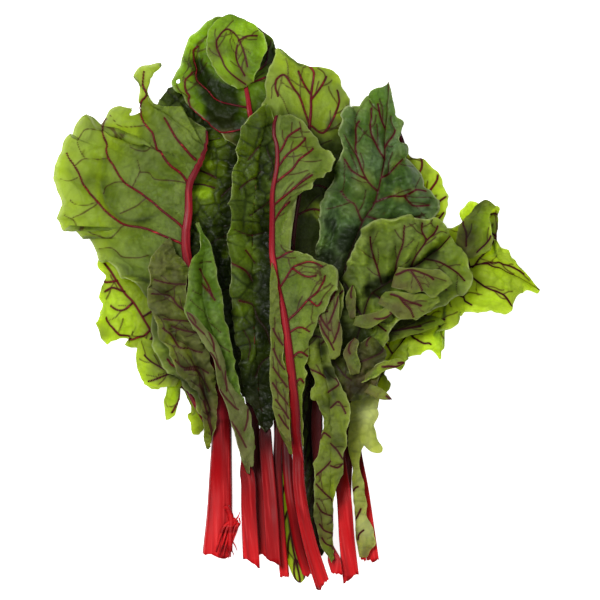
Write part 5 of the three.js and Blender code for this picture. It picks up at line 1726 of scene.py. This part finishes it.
# Fresh chard stalk: smooth skin over wet fibres, crimson with darker bands and paler strings along it,
# which partly paint shade and sheen; darker and duller where it runs out as ribs; the cut end is pale and
# fibrous.
def stalk_material():
    fields = ("along", "flank_shade_and_sheen", "cut", "shade")
    material, node, place, field = new_material("chard_stalk_skin", fields)
    strings = node(NOISE, node(STRETCH, place, (22.0, 620.0, 1.0)), 1.0, 4.0)
    bands_and_shade = node(NOISE, node(STRETCH, place, (8.0, 170.0, 1.0)), 1.0, 2.0)
    tone = node(BLEND, node(LEVEL, field["along"], 0.0, 0.36), colour("#bc1418"), colour("#86060c"))
    for start, end, shade in ((0.28, 0.44, "#62060b"), (0.45, 0.6, "#851620"), (0.6, 0.9, "#440b12")):
        tone = node(BLEND, node(LEVEL, field["along"], start, end), tone, colour(shade))
    # Darker bands and paler strings along the stalk: partly its own streaks, partly painted shade and
    # sheen
    tone = node(BLEND, node(LEVEL, bands_and_shade, 0.42, 0.66, 0.0, 0.7), tone, colour("#6a0308"))
    tone = node(BLEND, node(LEVEL, strings, 0.52, 0.74, 0.0, 0.5), tone, colour("#d03a3a"))
    # Darker purple-grey flanks: painted shade and grey sheen where the round sides turn away from the
    # light
    tone = node(BLEND, node(LEVEL, field["flank_shade_and_sheen"], 0.35, 1.0, 0.0, 0.55), tone, colour("#4e1c22"))
    fibres = node(NOISE, place, 900.0, 2.0)
    pith = node(BLEND, node(LEVEL, fibres, 0.35, 0.7), colour("#d98a72"), colour("#b83a38"))
    tone = node(BLEND, node(LEVEL, field["cut"], 0.4, 0.9), tone, pith)
    # Painted shade deep in the pile
    tone = node(BLEND, node(TIMES, field["shade"], 0.85), tone, colour("#1c0103"))
    roughness = node(LEVEL, strings, 0.3, 0.7, 0.34, 0.52)
    relief = node(BUMP, strings, 0.5, 0.0006)
    shine = {"Normal": relief, "Roughness": roughness, "IOR": 1.36, "Specular IOR Level": 0.18}
    depth = {"Subsurface Weight": 0.08, "Subsurface Radius": (0.004, 0.0006, 0.0004)}
    node(OUTPUT, node(SKIN, tone, inputs={**shine, **depth}))
    return material


# White acrylic light table: plain, faintly lit from below.
def table_material():
    material, node, _, _ = new_material("lit_white_acrylic", ())
    lit = {"Roughness": 0.6, "Emission Color": (1, 1, 1, 1), "Emission Strength": TABLE_GLOW}
    node(OUTPUT, node(SKIN, colour("#f4f4f4"), inputs=lit))
    return material


TABLE_GLOW = 0.9

# Colours of the blade, its pale parts, its rim, the light through it, its net, and the painted light where
# it is lit; then roughness, share of light let through, depth of the net, and strength of the net's colour
# in the creases, which also paints their shade
LEAF_LOOKS = {
    "young": (
        "young_leaf_cuticle", "#74832c", "#919f44", "#a9b34a", "#ecff44", "#4a5a14", "#a8c038",
        0.44, 0.62, 0.3, 0.15,
    ),
    "lime": (
        "leaf_lime_backlit", "#46600c", "#63801c", "#7f9a24", "#d2f238", "#2c400a", "#84a420",
        0.44, 0.5, 0.3, 0.2,
    ),
    "pale": (
        "pale_leaf_underside", "#8b9752", "#a5ab6c", "#c0c084", "#e8f060", "#5c6832", "#b4bc80",
        0.48, 0.55, 0.35, 0.3,
    ),
    "olive": (
        "leaf_underside_matte", "#5f7224", "#7d8f46", "#96a450", "#deee4c", "#3a481a", "#8fa33c",
        0.48, 0.55, 0.35, 0.15,
    ),
    "mid": (
        "leaf_side_green", "#4a6614", "#62802c", "#82963c", "#c4e440", "#2a3c0c", "#8a9658",
        0.42, 0.45, 0.4, 0.25,
    ),
    # Dark green with grey-blue tones that paint the sheen of its waxy upper side
    "waxy_grey_sheen": (
        "leaf_upper_grey_sheen", "#3d5426", "#587048", "#76884e", "#bce048", "#1e2c14", "#7c8a3c",
        0.36, 0.4, 0.45, 0.3,
    ),
    "dark": (
        "leaf_upper_waxy", "#303c0a", "#4a5c20", "#607028", "#e4fa30", "#101803", "#8cae1c",
        0.38, 0.45, 0.45, 0.6,
    ),
}
LEAF_FINISH = {key: leaf_material(*look) for key, look in LEAF_LOOKS.items()}
STALK_FINISH = stalk_material()


# The bunch

pile = np.full(PLAN_NX * PLAN_NY, -LAYER_GAP, float)
shapes = []
for number, leaf in enumerate(LEAVES):
    leaf["number"] = number + 1
    shapes.append(shape_leaf(leaf, pile))

# The solids have their origin at the middle of the underside; the same move is made here
whole_leaves = [leaf for leaf in LEAVES if "on" not in leaf]
outline = np.vstack([np.array(leaf["rows"], float).reshape(-1, 2) for leaf in whole_leaves])
high = np.array(CAD_BOX[1]) / MM
SHIFT = np.array([
    (outline[:, 0].min() + outline[:, 0].max()) / 2,
    outline[:, 1].max() - high[1],
    0.0,
])

TOP = blurred_top(pile)
PRESS = press_share(pile, high[2])
for leaf, shape in zip(LEAVES, shapes):
    shape["fields"]["shade"] = hollow_shade(shape["surface"].reshape(-1, 3)) * leaf["shade"]

for leaf, shape in zip(LEAVES, shapes):
    if "on" in leaf:
        continue
    folds = [pair for pair in zip(LEAVES, shapes) if pair[0].get("on") == leaf["name"]]
    make_blade(leaf, shape, folds)
    if shape["stalk"]:
        make_stalk(leaf, shape)


# Table, lights and camera


def make_table():
    deselect_all()
    bpy.ops.mesh.primitive_plane_add(size=6.0, location=(0, 0, -0.0005))
    table = bpy.context.object
    table.name = "light_table"
    table.data.materials.append(table_material())


def soft_light(name, size, power, place, tilt):
    data = bpy.data.lights.new(name, "AREA")
    data.size = size
    data.energy = power
    lamp = bpy.data.objects.new(name, data)
    lamp.location = place
    lamp.rotation_euler = [math.radians(angle) for angle in tilt]
    bpy.context.scene.collection.objects.link(lamp)


def make_camera():
    view = PICTURE_WIDTH * PIXEL * MM
    data = bpy.data.cameras.new("camera")
    data.sensor_width = SENSOR
    data.lens = SENSOR * (CAMERA_HEIGHT - MID_HEIGHT) / view
    camera = bpy.data.objects.new("camera", data)
    aside = (PICTURE_WIDTH / 2 - ORIGIN_COLUMN) * PIXEL
    camera.location = ((aside - SHIFT[0]) * MM, -SHIFT[1] * MM, CAMERA_HEIGHT)
    bpy.context.scene.collection.objects.link(camera)
    bpy.context.scene.camera = camera


PIXEL = 0.72  # mm of the object to a pixel of the picture
PICTURE_WIDTH = 600
ORIGIN_COLUMN = 297  # pixel column over the origin of the leaves' points
SENSOR = 36  # mm
CAMERA_HEIGHT = 2.6
MID_HEIGHT = 0.02  # height that the picture's scale holds for, m

bpy.context.scene.view_settings.view_transform = "Standard"
world = bpy.data.worlds.new("studio")
world.use_nodes = True
background = world.node_tree.nodes["Background"]
background.inputs["Color"].default_value = (1, 1, 1, 1)
background.inputs["Strength"].default_value = 0.18
bpy.context.scene.world = world

make_table()
soft_light("key", size=0.55, power=36.0, place=(-0.55, 0.5, 1.5), tilt=(-18.4, -20.1, 0))
soft_light("fill", size=1.0, power=8.0, place=(0.7, -0.5, 1.4), tilt=(19.6, 26.6, 0))
make_camera()
